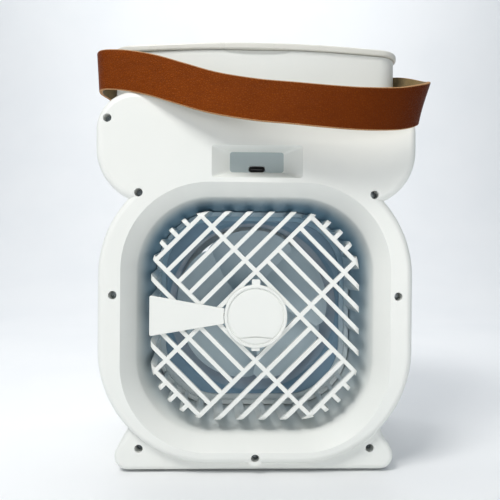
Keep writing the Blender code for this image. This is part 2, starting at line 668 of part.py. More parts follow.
# ---------------------------------------------------------------- tank and lid
def build_tank(white, ivory, silicone):
    tank = solid("water_tank", plate_z(tank_plan(), TANK_FLOOR_Z, TANK_RIM_Z), white, smooth=35)
    cut(tank, "tank_room", plate_z(tank_plan(-TANK_WALL), TANK_FLOOR_Z + TANK_WALL, TANK_RIM_Z + 0.01))
    bosses = bmesh.new()
    holes = bmesh.new()
    for side in (-1, 1):
        wall_x = side * (TANK_HALF - 0.001)
        x_boss(bosses, wall_x, side * (TANK_HALF - 0.0075), 0.0052)
        x_boss(holes, side * (TANK_HALF + 0.002), side * (TANK_HALF - 0.0060), STUD_R + GAP)
    join(tank, "stud_bosses", bosses)
    cut(tank, "stud_holes", holes)
    ports = bmesh.new()
    for x in nozzle_xs():
        turned([(WICK_PORT_R, TANK_FRONT_Y - 0.002), (WICK_PORT_R, TANK_FRONT_Y + TANK_WALL + 0.002)], 14,
               (x, NOZZLE_Z), ports)
    cut(tank, "wick_ports", ports)
    lens = [(SCOOP_HALF * math.cos(a), TANK_RIM_Z - SCOOP_HEIGHT * math.sin(a))
            for a in [math.pi * i / 12 for i in range(13)]]
    lens = [(SCOOP_HALF, TANK_RIM_Z + 0.002)] + lens + [(-SCOOP_HALF, TANK_RIM_Z + 0.002)]
    cut(tank, "finger_scoop", plate_y(lens, TANK_REAR_Y - SCOOP_DEPTH, TANK_REAR_Y + 0.01))

    lift = pivot("lid_axis", (0.0, 0.0, 0.0))
    low = TANK_RIM_Z + GAP
    lid_rings = [in_z(tank_plan(LID_OVERHANG - 0.0006), low), in_z(tank_plan(LID_OVERHANG), low + 0.0006),
                 in_z(tank_plan(LID_OVERHANG), LID_TOP_Z - 0.0014),
                 in_z(tank_plan(LID_OVERHANG - 0.0005), LID_TOP_Z - 0.0004),
                 in_z(tank_plan(LID_OVERHANG - 0.0014), LID_TOP_Z)]
    lid = solid("tank_lid", loft(lid_rings), ivory, parent=lift, smooth=40)
    inner = -(TANK_WALL + 0.0022)
    plug = [in_z(tank_plan(inner), low - 0.0045), in_z(tank_plan(inner), low + 0.001)]
    join(lid, "lid_plug", loft(plug))
    cut(lid, "lid_plug_room", plate_z(tank_plan(inner - 0.0018), low - 0.006, low))
    seal = [in_z(tank_plan(-TANK_WALL - GAP), low - 0.0035), in_z(tank_plan(-TANK_WALL - GAP), low - 0.0012),
            in_z(tank_plan(inner + GAP), low - 0.0012), in_z(tank_plan(inner + GAP), low - 0.0035)]
    solid("lid_seal", loft(seal, closed=True), silicone, parent=lift)


def x_boss(bm, x0, x1, radius, steps=12):
    """A short cylinder along X on the strap's pivot line."""
    ends = [[(x, STUD_Y + u, STUD_Z + v) for u, v in circle((0, 0), radius, steps)] for x in (x0, x1)]
    return loft(ends, bm)


def nozzle_xs():
    return [(i - (NOZZLES - 1) / 2) * NOZZLE_PITCH for i in range(NOZZLES)]


# ---------------------------------------------------------------- carry strap
# Middle line of the strap from the left stud round the back to the right one, then how far its
# upper edge leans out in degrees.
STRAP_ROUTE = (
    (0.0850, 0.0080, 0.2220, 0),
    (0.0851, 0.0150, 0.2228, 0),
    (0.0862, 0.0260, 0.2232, 0),
    (0.0878, 0.0400, 0.2236, 4),
    (0.0835, 0.0515, 0.2227, 6),
    (0.0730, 0.0585, 0.2208, 6),
    (0.0580, 0.0640, 0.2165, 4),
    (0.0425, 0.0690, 0.2110, 2),
    (0.0240, 0.0740, 0.2048, 0),
    (0.0020, 0.0790, 0.2002, 0),
    (-0.0170, 0.0820, 0.1980, 0),
    (-0.0350, 0.0835, 0.1962, 2),
    (-0.0530, 0.0830, 0.1950, 6),
    (-0.0715, 0.0795, 0.1955, 12),
    (-0.0845, 0.0725, 0.1985, 18),
    (-0.0905, 0.0630, 0.2030, 20),
    (-0.0912, 0.0500, 0.2085, 14),
    (-0.0890, 0.0330, 0.2150, 6),
    (-0.0866, 0.0220, 0.2188, 2),
    (-0.0851, 0.0145, 0.2208, 0),
    (-0.0850, 0.0080, 0.2220, 0),
)


def smooth_through(points, per_span):
    """Points on a Catmull-Rom curve through the route's own points."""
    found = []
    last = len(points) - 1
    for i in range(last):
        p0, p1, p2, p3 = (points[max(0, min(last, i + k))] for k in (-1, 0, 1, 2))
        for j in range(per_span):
            t = j / per_span
            found.append(tuple(
                0.5 * (2 * b + (c - a) * t + (2 * a - 5 * b + 4 * c - d) * t * t
                       + (3 * b - 3 * c + d - a) * t ** 3)
                for a, b, c, d in zip(p0, p1, p2, p3)))
    return found + [tuple(points[-1])]


def strap_frames(per_span=2):
    """Middle, width direction and outward direction at each station of the strap."""
    line = smooth_through(STRAP_ROUTE, per_span)
    frames = []
    for i, station in enumerate(line):
        before = Vector(line[max(0, i - 1)][:3])
        after = Vector(line[min(len(line) - 1, i + 1)][:3])
        along = (after - before).normalized()
        if i in (0, len(line) - 1):
            along = Vector((0, 1 if i == 0 else -1, 0))
        up = (Vector((0, 0, 1)) - along * along.z).normalized()
        out = along.cross(up).normalized()
        turn = Matrix.Rotation(math.radians(station[3]), 3, along)
        frames.append((Vector(station[:3]), turn @ up, turn @ out))
    return frames


def build_strap(leather, brass, rubber):
    swing = pivot("strap_axis", (0.0, STUD_Y, STUD_Z))
    frames = strap_frames()
    rings = []

    def ring(middle, up, out, half):
        t = STRAP_THICK / 2
        corners = ((half, t), (-half, t), (-half, -t), (half, -t))
        return [middle + up * w + out * d - Vector((0, STUD_Y, STUD_Z)) for w, d in corners]

    half = STRAP_WIDTH / 2
    for index, step in ((0, -1), (-1, -1)):
        middle, up, out = frames[index]
        tips = []
        for degrees in (75, 50, 25):
            turn = math.radians(degrees)
            back = Vector((0, step * half * math.sin(turn), 0))
            tips.append(ring(middle + back, up, out, half * math.cos(turn)))
        rings.append(tips)
    body = [ring(middle, up, out, half) for middle, up, out in frames]
    strap = solid("carry_strap", loft(rings[0] + body + list(reversed(rings[1]))), leather, parent=swing)
    holes = bmesh.new()
    for side in (-1, 1):
        x_boss(holes, side * (STRAP_X - 0.005), side * (STRAP_X + 0.005), STUD_R + GAP)
    cut(strap, "strap_holes", holes)

    for side, name in ((1, "left"), (-1, "right")):
        stud = bmesh.new()
        strap_out = STRAP_X + STRAP_THICK / 2 + GAP
        stations = ((STUD_R, TANK_HALF - 0.0055), (STUD_R, strap_out + GAP), (STUD_HEAD_R, strap_out + GAP),
                    (STUD_HEAD_R, strap_out + 0.0008), (STUD_HEAD_R * 0.72, strap_out + 0.0020),
                    (STUD_HEAD_R * 0.3, strap_out + 0.0025))
        loft([[(side * x, STUD_Y + u, STUD_Z + v) for u, v in circle((0, 0), r, 14)] for r,
              x in stations], stud)
        solid(f"strap_stud_{name}", stud, brass, smooth=35)
        inner, outer = STUD_R + GAP, WASHER_R
        x0, x1 = TANK_HALF + GAP, STRAP_X - STRAP_THICK / 2 - GAP
        rings_x = [[(side * x, STUD_Y + u, STUD_Z + v) for u, v in circle((0, 0), r, 14)]
                   for r, x in ((inner, x0), (outer, x0), (outer, x1), (inner, x1))]
        solid(f"strap_washer_{name}", loft(rings_x, closed=True), rubber, smooth=35)


# ---------------------------------------------------------------- misting row, controls and boards
def build_mist(white, grey, steel, cotton):
    outline = rounded_rect(*MIST_BAR_HALF, MIST_BAR_R, (0, NOZZLE_Z), 6)
    bar = solid("mist_bar", plate_y(outline, FRONT_Y, FRONT_Y + MIST_BAR_DEPTH), grey)
    bores = bmesh.new()
    for index, x in enumerate(nozzle_xs(), 1):
        centre = (x, NOZZLE_Z)
        turned([(0.0047, FRONT_Y - 0.002), (0.0047, FRONT_Y + 0.012)], 14, centre, bores)
        ring = [(0.0020, FRONT_Y + 0.0030), (0.0044, FRONT_Y + 0.0030), (0.0044, FRONT_Y - 0.0006),
                (0.0036, FRONT_Y - 0.0010), (0.0020, FRONT_Y + 0.0006)]
        solid(f"mist_nozzle_{index}", turned(ring, 14, centre, closed=True), white, smooth=30)
        disc = turned([(0.0043, FRONT_Y + 0.0033), (0.0043, FRONT_Y + 0.0041)], 12, centre)
        solid(f"atomiser_disc_{index}", disc, steel, smooth=40)
        wick = turned([(0.0026, FRONT_Y + 0.0044), (0.0031, FRONT_Y + 0.0050), (0.0031,
                                                                                TANK_FRONT_Y + 0.012)],
                      8, centre)
        solid(f"wick_{index}", wick, cotton, smooth=40)
    cut(bar, "nozzle_bores", bores)


def build_controls(grey, white):
    outline = rounded_rect(*PANEL_HALF, PANEL_HALF[1] - 0.0001, (0, PANEL_Z), 6)
    panel = solid("control_panel", plate_y(outline, FRONT_Y + 0.0002, FRONT_Y + 0.0024), grey)
    holes = bmesh.new()
    for index, name in enumerate(BUTTONS):
        x = (index - (len(BUTTONS) - 1) / 2) * BUTTON_PITCH
        hole_r = BUTTON_R + GAP
        turned([(hole_r, FRONT_Y - 0.002), (hole_r, FRONT_Y + 0.006)], 18, (x, PANEL_Z), holes)
        proud = FRONT_Y - BUTTON_PROUD
        cap = [(BUTTON_R - 0.0012, FRONT_Y + 0.0052), (BUTTON_R, FRONT_Y + 0.0048),
               (BUTTON_R, proud + 0.0008), (BUTTON_R - ROUNDING, proud + 0.0002), (BUTTON_R - 0.0022, proud)]
        slide = pivot(f"button_axis_{name}", (x, 0.0, PANEL_Z))
        solid(f"button_{name}", turned(cap, 18), white, parent=slide, smooth=35)
    cut(panel, "button_holes", holes)


def build_boards(green, steel, silicone):
    block_node("main_board", (-0.050, -0.0535, 0.1535), (0.050, -0.0519, 0.1760), green)
    block_node("led_strip", (-0.060, 0.010, 0.1772), (0.060, 0.018, 0.1784), silicone)
    back = REAR_Y - USB_DEPTH - 0.0018 - GAP
    board_top = USB_SLOT_Z - 0.0019 - GAP
    block_node("usb_board", (-0.011, 0.024, board_top - 0.0012), (0.011, back, board_top), green)
    outer = rounded_rect(0.00440, 0.00158, 0.0015, (0, USB_SLOT_Z), 4)
    socket = solid("usb_socket", plate_y(outer, back - 0.0060, REAR_Y - USB_DEPTH - 0.0004), steel, smooth=35)
    room = rounded_rect(0.00410, 0.00128, 0.00122, (0, USB_SLOT_Z), 4)
    cut(socket, "socket_room", plate_y(room, back - 0.0050, REAR_Y))
    tongue = block((-0.0033, back - 0.0055, USB_SLOT_Z - 0.00035),
                   (0.0033, REAR_Y - USB_DEPTH - 0.0012, USB_SLOT_Z + 0.00035))
    join(socket, "socket_tongue", tongue)


def block_node(name, low, high, finish):
    solid(name, block(low, high), finish)


def build_screws(steel):
    for index, (x, z) in enumerate(SCREW_PLACES, 1):
        back = REAR_Y if z > BODY_BOTTOM + 0.012 or x == 0 else BASE_REAR_Y
        floor = back - SCREW_SINK
        screw = turned([(0.0010, floor - 0.0075), (0.0010, floor + GAP), (SCREW_HEAD_R, floor + GAP),
                        (SCREW_HEAD_R, floor + 0.0018)], 10, (x, z))
        solid(f"case_screw_{index}", screw, steel, smooth=35)


def main():
    for old in list(bpy.data.objects):
        bpy.data.objects.remove(old, do_unlink=True)
    white = material("casing_white", WHITE, 0.34)
    ivory = material("lid_white", IVORY, 0.36)
    blades = material("blade_grey", BLADE_GREY, 0.30)
    leather = material("strap_leather", LEATHER, 0.55)
    rubber = material("foot_rubber", RUBBER, 0.80)
    steel = material("plain_steel", STEEL, 0.35, 1.0)
    brass = material("stud_brass", BRASS, 0.35, 1.0)
    green = material("board_green", BOARD_GREEN, 0.50)
    cotton = material("wick_cotton", COTTON, 0.90)
    grey = material("trim_grey", LIGHT_GREY, 0.30)
    silicone = material("seal_silicone", SILICONE, 0.60)

    build_rear_shell(white)
    build_front_shell(white)
    build_base(white, rubber)
    build_cage(white)
    build_hub(white)
    build_front_grille(white)
    build_fan(steel, blades, white, rubber)
    build_tank(white, ivory, silicone)
    build_strap(leather, brass, rubber)
    build_mist(white, grey, steel, cotton)
    build_controls(grey, white)
    build_boards(green, steel, silicone)
    build_screws(steel)
    bpy.context.view_layer.update()


main()
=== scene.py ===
"""Desktop misting fan: the looks of every piece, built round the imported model."""

import math

import bmesh
import bpy
from bpy.props import FloatProperty, FloatVectorProperty, PointerProperty
from mathutils import Matrix, Vector


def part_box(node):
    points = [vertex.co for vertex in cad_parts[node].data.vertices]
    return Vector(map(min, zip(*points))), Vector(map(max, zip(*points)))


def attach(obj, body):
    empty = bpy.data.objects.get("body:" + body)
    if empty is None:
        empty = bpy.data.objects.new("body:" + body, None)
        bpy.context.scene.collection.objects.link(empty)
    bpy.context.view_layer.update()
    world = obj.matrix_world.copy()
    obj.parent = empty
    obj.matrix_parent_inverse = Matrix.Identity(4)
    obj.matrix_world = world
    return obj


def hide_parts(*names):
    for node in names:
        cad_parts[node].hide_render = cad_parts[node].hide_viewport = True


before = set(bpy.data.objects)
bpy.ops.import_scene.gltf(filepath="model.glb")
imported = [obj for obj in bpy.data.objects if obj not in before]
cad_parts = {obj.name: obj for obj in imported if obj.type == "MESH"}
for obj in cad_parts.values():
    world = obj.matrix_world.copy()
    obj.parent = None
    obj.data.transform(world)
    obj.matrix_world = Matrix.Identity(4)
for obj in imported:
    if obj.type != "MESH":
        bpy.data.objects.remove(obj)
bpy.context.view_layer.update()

bl_info = {
    "name": "Desktop misting fan",
    "version": (1, 0, 0),
    "blender": (4, 5, 0),
    "location": "3D View > Sidebar > Misting fan",
    "description": "Builds the finished surfaces of a desktop misting fan",
    "category": "Object",
}

# ---------------------------------------------------------------- sizes in metres
LOW, HIGH = {}, {}
for node_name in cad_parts:
    LOW[node_name], HIGH[node_name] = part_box(node_name)

GAP = 0.0003
WALL = 0.0024
REAR_Y = HIGH["rear_shell"].y
SEAM_Y = HIGH["front_shell"].y + GAP
FRONT_Y = LOW["front_shell"].y
FAN_Z = (LOW["rear_grille"].z + HIGH["rear_grille"].z) / 2

HEAD_HALF = HIGH["rear_shell"].x
HEAD_TOP = HIGH["rear_shell"].z
HEAD_BOTTOM = HEAD_TOP - 0.061
HEAD_TOP_R = 0.021
HEAD_LOW_R = 0.030
BODY_HALF = HEAD_HALF - 0.0013
BODY_TOP = 0.171
BODY_BOTTOM = 0.0063
BODY_R = 0.062
BASE_HALF = 0.0777
BASE_WAIST_HALF = 0.0700
BASE_WAIST_Z = 0.029
BASE_BOTTOM = LOW["front_shell"].z
BASE_CORNER_R = 0.0075
BASE_REAR_Y = REAR_Y - 0.0055
BASE_FRONT_Y = FRONT_Y + 0.0045

RECESS_HALF = 0.0736
RECESS_R = 0.049
LIP_HALF = 0.0667
LIP_R = 0.0422
LIP_DEPTH = 0.009
BOWL_WALL = 0.0022
BOWL_FLOOR_Y = LOW["rear_shell"].y + BOWL_WALL
BOWL_FLOOR_HALF = 0.0608
BOWL_FLOOR_R = 0.038
INLET_HALF = 0.0550
INLET_R = 0.033

# Where the painted shade inside the inlet sets in: it is full at the first number and gone at the second
# along y, and it deepens from the first to the second along z.
PAINTED_SHADE_Y = (REAR_Y - 0.034, REAR_Y - LIP_DEPTH + 0.001)
PAINTED_SHADE_Z = (FAN_Z - 0.065, FAN_Z + 0.045)

CAGE_FACE_Y = HIGH["rear_grille"].y
CAGE_BASE_Y = LOW["rear_grille"].y
CAGE_BASE_HALF = HIGH["rear_grille"].x
CAGE_HALF = CAGE_BASE_HALF - 0.0018
CAGE_R = 0.0354
CAGE_BASE_HEIGHT = 0.004
BAR = 0.0023
BAR_PITCH = 0.0087
HUB_TANGENT = 0.0176
BARS_PER_SIDE = 5
HUB_R = HIGH["motor_hub_cap"].x
HUB_TOP_Y = HIGH["motor_hub_cap"].y

TANK_HALF = HIGH["water_tank"].x
TANK_REAR_Y = HIGH["water_tank"].y
TANK_FRONT_Y = LOW["water_tank"].y
TANK_FLOOR_Z = LOW["water_tank"].z
TANK_RIM_Z = HIGH["water_tank"].z
TANK_BOW = 0.008
TANK_CORNER_R = 0.014
TANK_WALL = 0.0022
LID_TOP_Z = HIGH["tank_lid"].z
LID_OVERHANG = HIGH["tank_lid"].x - TANK_HALF
SCOOP_HALF = 0.0185
SCOOP_HEIGHT = 0.0032
SCOOP_DEPTH = 0.0011

USB_Z = 0.1714
USB_MOUTH = (0.0248, 0.0088)
USB_FLOOR = (0.0150, 0.0056)
USB_FLOOR_Z = 0.1722
USB_DEPTH = 0.009
USB_WALL = 0.0018
USB_SLOT = (0.0047, 0.00175)
USB_SLOT_Z = (LOW["usb_socket"].z + HIGH["usb_socket"].z) / 2

CASE_SCREWS = 9
SCREW_R = 0.0023
SCREW_SINK = 0.0065
SCREW_BOSS_R = 0.0044
SCREW_PILOT_R = 0.0013
SCREW_SHANK_R = 0.0010
SCREW_HEAD_R = 0.0020
SCREW_HEAD_HEIGHT = 0.0015

OUTLET_RIM = 0.0055
OUTLET_BAND = 0.0085
CAGE_EDGE_R = 0.0030
FAN_HUB_R = 0.0145
BLADES = 5
BLADE_THICK = 0.0014
DUCT_R = 0.0535
DUCT_WALL = 0.0018
DUCT_CORNER_R = 0.038
NOZZLES = 5
WICK_PORT_R = 0.0035
LID_RIM_R = 0.0013
FEET = 4
ROUND_STEPS = 96
OVERCUT = 0.002

STRAP_WIDTH = 0.0215
STRAP_THICK = 0.0018
STUD_Y = (LOW["strap_stud_left"].y + HIGH["strap_stud_left"].y) / 2
STUD_Z = (LOW["strap_stud_left"].z + HIGH["strap_stud_left"].z) / 2
STUD_R = 0.0021
STUD_HEAD_R = 0.0050
# Painted shade: the strap is darkest up to the first number in x, its own colour from the second on.
STRAP_SHADE_END_X = (-0.12, 0.05)


# ---------------------------------------------------------------- shader expressions
class Wire:
    """An output socket that takes part in arithmetic; each operator adds one Math node."""

    def __init__(self, finish, socket):
        self.finish = finish
        self.socket = socket

    def __add__(self, other):
        return self.finish.maths("ADD", self, other)

    def __mul__(self, other):
        return self.finish.maths("MULTIPLY", self, other)

    def __rsub__(self, other):
        return self.finish.maths("SUBTRACT", other, self)

    __radd__ = __add__
    __rmul__ = __mul__


class Finish:
    """A Principled material and the nodes that feed it."""

    def __init__(self, name, colour, roughness, metallic=0.0, constants=None):
        self.material = bpy.data.materials.new(name)
        self.material.use_nodes = True
        self.tree = self.material.node_tree
        self.shader = self.tree.nodes["Principled BSDF"]
        self.set(self.shader, "Base Color", (*colour, 1.0))
        self.set(self.shader, "Roughness", roughness)
        self.set(self.shader, "Metallic", metallic)
        for socket, value in (constants or {}).items():
            self.set(self.shader, socket, value)
        self.material.diffuse_color = (*colour, 1.0)

    def set(self, node, socket, value):
        """Give an input a number or colour, or link a wire to it."""
        target = node.inputs[socket]
        if isinstance(value, Wire):
            self.tree.links.new(value.socket, target)
        else:
            target.default_value = value

    def node(self, kind, settings=None, inputs=None, output=0):
        """Add a node: its settings first, then its inputs; returns one of its outputs."""
        made = self.tree.nodes.new(kind)
        for name, value in (settings or {}).items():
            setattr(made, name, value)
        for name, value in (inputs or {}).items():
            self.set(made, name, value)
        return Wire(self, made.outputs[output])

    def maths(self, operation, first, second):
        return self.node("ShaderNodeMath", {"operation": operation}, {0: first, 1: second})

    def between(self, low, high, share):
        """A colour between two colours."""
        ends = [c if isinstance(c, Wire) else (*c, 1.0) for c in (low, high)]
        return self.node("ShaderNodeMix", {"data_type": "RGBA"}, {0: share, 6: ends[0], 7: ends[1]}, 2)

    def place(self, stretch=(1.0, 1.0, 1.0)):
        """Where a point sits on the piece, stretched along the axes."""
        coords = self.node("ShaderNodeTexCoord", output="Object")
        return self.node("ShaderNodeVectorMath", {"operation": "MULTIPLY"}, {0: coords, 1: stretch})

    def noise(self, scale, detail=3.0, rough=0.5, at=None):
        at = at or self.place()
        inputs = {"Vector": at, "Scale": scale, "Detail": detail, "Roughness": rough}
        return self.node("ShaderNodeTexNoise", None, inputs)

    def cells(self, scale, at, **settings):
        inputs = {"Vector": at, "Scale": scale}
        return self.node("ShaderNodeTexVoronoi", settings, inputs, "Distance")

    def axis(self, letter):
        """How far a point lies along one axis of the piece."""
        return self.node("ShaderNodeSeparateXYZ", None, {"Vector": self.place()}, letter)

    def step(self, value, low, high):
        """0 below `low`, 1 above `high`, eased between them."""
        inputs = {"Value": value, "From Min": low, "From Max": high}
        return self.node("ShaderNodeMapRange", {"interpolation_type": "SMOOTHSTEP"}, inputs)

    def bump(self, height, strength, distance):
        inputs = {"Height": height, "Strength": strength, "Distance": distance}
        self.set(self.shader, "Normal", self.node("ShaderNodeBump", None, inputs))

    def colour(self, value):
        self.set(self.shader, "Base Color", value)

    def roughness(self, value):
        self.set(self.shader, "Roughness", value)


def moulded(name, colour, shade, roughness, grain=2600.0, depth=0.00003, deep=None):
    """Injection-moulded plastic: a fine spark-eroded grain, faint flow marks and handling sheen.

    `deep` is a painted shade colour, cooler than the plastic, that the plastic turns towards deep inside the
    inlet.
    """
    f = Finish(name, colour, roughness, constants={"IOR": 1.49})
    flow = f.noise(14.0, 4.0, 0.6, f.place((1.0, 0.6, 0.35)))
    tone = f.between(colour, shade, f.step(flow, 0.35, 0.75))
    if deep:
        # Painted shade: deep inside the inlet the colour turns towards `deep`, more so towards the top.
        upper = f.step(f.axis("Z"), *PAINTED_SHADE_Z) * 0.75 + 0.25
        tone = f.between(tone, deep, (1 - f.step(f.axis("Y"), *PAINTED_SHADE_Y)) * upper)
    f.colour(tone)
    rub = f.noise(55.0, 5.0, 0.65)
    fine = f.noise(grain, 2.0)
    f.roughness(f.step(rub, 0.25, 0.8) * 0.10 + (fine * 0.05 + (roughness - 0.07)))
    f.bump(fine + f.noise(260.0, 3.0) * 0.6, 0.35, depth)
    return f.material


def leather(name, colour, dark, grain=850.0):
    """Pebbled leather with creases and uneven dye, and painted shade that darkens towards one end of the
    strap.
    """
    shine = {"Specular IOR Level": 0.30, "Specular Tint": (1.0, 0.42, 0.16, 1.0)}
    f = Finish(name, colour, 0.5, constants=shine)
    warp = f.noise(160.0, 4.0)
    wander = f.node("ShaderNodeTexNoise", None, {"Vector": f.place(), "Scale": 400.0}, "Color")
    pushed = {0: wander, 1: (0.0007,) * 3, 2: f.place()}
    push = f.node("ShaderNodeVectorMath", {"operation": "MULTIPLY_ADD"}, pushed)
    height = f.step(f.cells(grain, push, feature="DISTANCE_TO_EDGE"), 0.0, 0.35)
    pores = f.step(f.noise(2400.0, 2.0), 0.35, 0.62)
    creases = f.step(f.noise(120.0, 6.0, 0.6, f.place((1.0, 1.0, 3.0))), 0.30, 0.52)
    dye = f.between(dark, colour, f.step(f.noise(38.0, 5.0, 0.6), 0.0, 0.7) * 0.4 + 0.6)
    pits = f.between(dark, dye, height * 0.4 + 0.6)
    # Painted shade: the colour darkens towards the strap's end at low x.
    painted_end_shade = f.step(f.axis("X"), *STRAP_SHADE_END_X) * 0.85 + 0.15
    f.colour(f.between(dark, pits, (creases * 0.2 + 0.8) * painted_end_shade))
    f.roughness((1 - height) * 0.20 + (warp * 0.14 + 0.33))
    f.bump(height * 0.8 + pores * 0.2 + creases * 0.3, 0.9, 0.00022)
    return f.material


def raw_edge(name, colour, dark):
    """Cut leather edge: short fibres in layers."""
    f = Finish(name, colour, 0.75)
    fibres = f.noise(1500.0, 6.0, 0.7, f.place((1.0, 1.0, 2.5)))
    f.colour(f.between(dark, colour, f.step(fibres, 0.3, 0.7)))
    f.bump(fibres, 0.6, 0.00015)
    return f.material


def suede(name, colour, dark):
    """The flesh side of leather: fuzzy and matt."""
    f = Finish(name, colour, 0.9, constants={"Sheen Weight": 0.25})
    nap = f.noise(1300.0, 5.0, 0.7)
    cloud = f.noise(60.0, 4.0)
    f.colour(f.between(dark, colour, f.step(nap * 0.6 + cloud * 0.4, 0.35, 0.65)))
    f.bump(nap, 0.5, 0.00012)
    return f.material


def metal(name, colour, shade, roughness, brush=(1.0, 1.0, 14.0)):
    """Plated or drawn metal with fine lines from its making."""
    f = Finish(name, colour, roughness, 1.0)
    lines = f.noise(900.0, 4.0, 0.6, f.place(brush))
    tone = f.noise(160.0, 3.0)
    f.colour(f.between(shade, colour, f.step(tone, 0.3, 0.65)))
    f.roughness(lines * 0.16 + (roughness - 0.06))
    f.bump(lines, 0.25, 0.00004)
    return f.material


def rubbery(name, colour, shade, roughness=0.75):
    """Moulded rubber with a dusty bloom."""
    f = Finish(name, colour, roughness)
    bloom = f.noise(220.0, 5.0, 0.6)
    f.colour(f.between(colour, shade, f.step(bloom, 0.45, 0.8)))
    f.roughness(bloom * 0.2 + (roughness - 0.1))
    f.bump(f.noise(1800.0, 3.0), 0.4, 0.00006)
    return f.material


def cotton(name, colour, shade):
    """Pressed cotton: crossed fibres that wick water."""
    f = Finish(name, colour, 0.95, constants={"Sheen Weight": 0.2})
    along = f.noise(700.0, 5.0, 0.7, f.place((4.0, 0.5, 4.0)))
    f.colour(f.between(shade, colour, f.step(along, 0.3, 0.7)))
    f.bump(along, 0.7, 0.0002)
    return f.material


def circuit(name, mask, track):
    """Solder mask with copper tracks showing through it."""
    f = Finish(name, mask, 0.35)
    tracks = f.cells(190.0, f.place(), feature="F1", distance="MANHATTAN")
    f.colour(f.between(track, mask, f.step(tracks, 0.16, 0.2)))
    f.bump(tracks, 0.2, 0.00005)
    return f.material


def table_top(name, colour, shade):
    """A plain pale surface with the faintest mottling."""
    f = Finish(name, colour, 0.6)
    f.colour(f.between(colour, shade, f.step(f.noise(6.0, 4.0), 0.3, 0.8)))
    return f.material


# ---------------------------------------------------------------- mesh tools
def cosd(degrees):
    return math.cos(math.radians(degrees))


def sind(degrees):
    return math.sin(math.radians(degrees))


def object_from(name, bm, finishes, smooth=30.0):
    """Turn a bmesh into an object whose edges flatter than `smooth` degrees shade smooth."""
    bmesh.ops.recalc_face_normals(bm, faces=bm.faces)
    mesh = bpy.data.meshes.new(name)
    bm.to_mesh(mesh)
    bm.free()
    for finish in finishes:
        mesh.materials.append(finish)
    made = bpy.data.objects.new(name, mesh)
    bpy.context.scene.collection.objects.link(made)
    shade(made, smooth)
    return made


def shade(piece, smooth):
    piece.data.shade_smooth()
    piece.data.set_sharp_from_angle(angle=math.radians(smooth))


def arc(centre, radius, start, end, steps):
    turns = [math.radians(start + (end - start) * i / steps) for i in range(steps + 1)]
    return [(centre[0] + radius * math.cos(a), centre[1] + radius * math.sin(a)) for a in turns]


def circle(centre, radius, steps):
    return arc(centre, radius, 0, 360 * (steps - 1) / steps, steps - 1)


def mirrored(right_half):
    return right_half + [(-x, z) for x, z in reversed(right_half)]


def rounded_rect(half_w, half_h, radius, centre=(0.0, 0.0), steps=8):
    cx, cz = centre
    points = []
    for sx, sz, start in ((1, 1, 0), (-1, 1, 90), (-1, -1, 180), (1, -1, 270)):
        middle = (cx + sx * (half_w - radius), cz + sz * (half_h - radius))
        points += arc(middle, radius, start, start + 90, steps)
    return points


def rounded_square(half, radius, steps=18):
    return rounded_rect(half, half, radius, (0.0, FAN_Z), steps)


def in_y(outline, y):
    return [(x, y, z) for x, z in outline]


def in_z(outline, z):
    return [(x, y, z) for x, y in outline]


def loft(rings, bm=None, closed=False):
    """Skin rings with the same number of points; the ends are capped unless the stack is closed."""
    bm = bm or bmesh.new()
    loops = [[bm.verts.new(p) for p in ring] for ring in rings]
    pairs = list(zip(loops, loops[1:]))
    if closed:
        pairs.append((loops[-1], loops[0]))
    for low, high in pairs:
        count = len(low)
        for i in range(count):
            j = (i + 1) % count
            bm.faces.new((low[i], low[j], high[j], high[i]))
    if not closed:
        bm.faces.new(list(reversed(loops[0])))
        bm.faces.new(loops[-1])
    return bm


def plate_y(outline, y0, y1, bm=None):
    return loft([in_y(outline, y0), in_y(outline, y1)], bm)


def plate_z(outline, z0, z1, bm=None):
    return loft([in_z(outline, z0), in_z(outline, z1)], bm)


def turned(profile, steps, centre=(0.0, 0.0), bm=None, closed=False):
    """Turn a profile of (radius, y) about an axis along Y."""
    return loft([in_y(circle(centre, radius, steps), y) for radius, y in profile], bm, closed)


def turned_x(profile, steps, bm=None):
    """Turn a profile of (radius, x) about the strap's pivot line."""
    rings = [[(x, STUD_Y + u, STUD_Z + v) for u, v in circle((0, 0), r, steps)] for r, x in profile]
    return loft(rings, bm)


def dome(radius, start, height, turns):
    """Profile points of a dome that rises by `height` from its rim, one for each turn in degrees."""
    return [(radius * cosd(a), start + height * sind(a)) for a in turns]


def rounded_edge(radius, start, round_r, turns):
    """Profile points of a disc's edge rounded by `round_r`, from its side over to its face."""
    return [(radius - round_r * (1 - cosd(a)), start + round_r * (1 - sind(a))) for a in turns]


def middle_of(node):
    """The middle of a CAD node in x and z."""
    low, high = LOW[node], HIGH[node]
    return (low.x + high.x) / 2, (low.z + high.z) / 2



class Body:
    """A solid that is cut and joined in steps, then given softened edges and applied."""

    def __init__(self, name, bm, finishes):
        self.piece = object_from(name, bm, finishes)
        self.tools = []

    def shape_with(self, bm, operation):
        other = object_from("tool", bm, [])
        step = self.piece.modifiers.new(operation, "BOOLEAN")
        step.operation = operation
        step.solver = "EXACT"
        step.object = other
        self.tools.append(other)
        return self

    def cut(self, bm):
        return self.shape_with(bm, "DIFFERENCE")

    def join(self, bm):
        return self.shape_with(bm, "UNION")

    def keep_within(self, bm):
        return self.shape_with(bm, "INTERSECT")

    def finished(self, soften=0.0003, segments=2, smooth=32.0):
        """Apply the steps, round the sharp edges by `soften` and shade by face area."""
        apply_modifiers(self.piece)
        for other in self.tools:
            bpy.data.objects.remove(other, do_unlink=True)
        if soften:
            add_edge_round(self.piece, soften, segments)
            apply_modifiers(self.piece)
        shade(self.piece, smooth)
        even_shading(self.piece)
        return self.piece


def add_edge_round(piece, width, segments=2, over=30.0):
    step = piece.modifiers.new("edge_round", "BEVEL")
    step.width = width
    step.segments = segments
    step.limit_method = "ANGLE"
    step.angle_limit = math.radians(over)
    step.use_clamp_overlap = True
    step.harden_normals = False
    step.miter_outer = "MITER_ARC"


def even_shading(piece):
    """Large flat faces keep their own normal next to small curved ones."""
    step = piece.modifiers.new("even_shading", "WEIGHTED_NORMAL")
    step.keep_sharp = True
    step.weight = 80


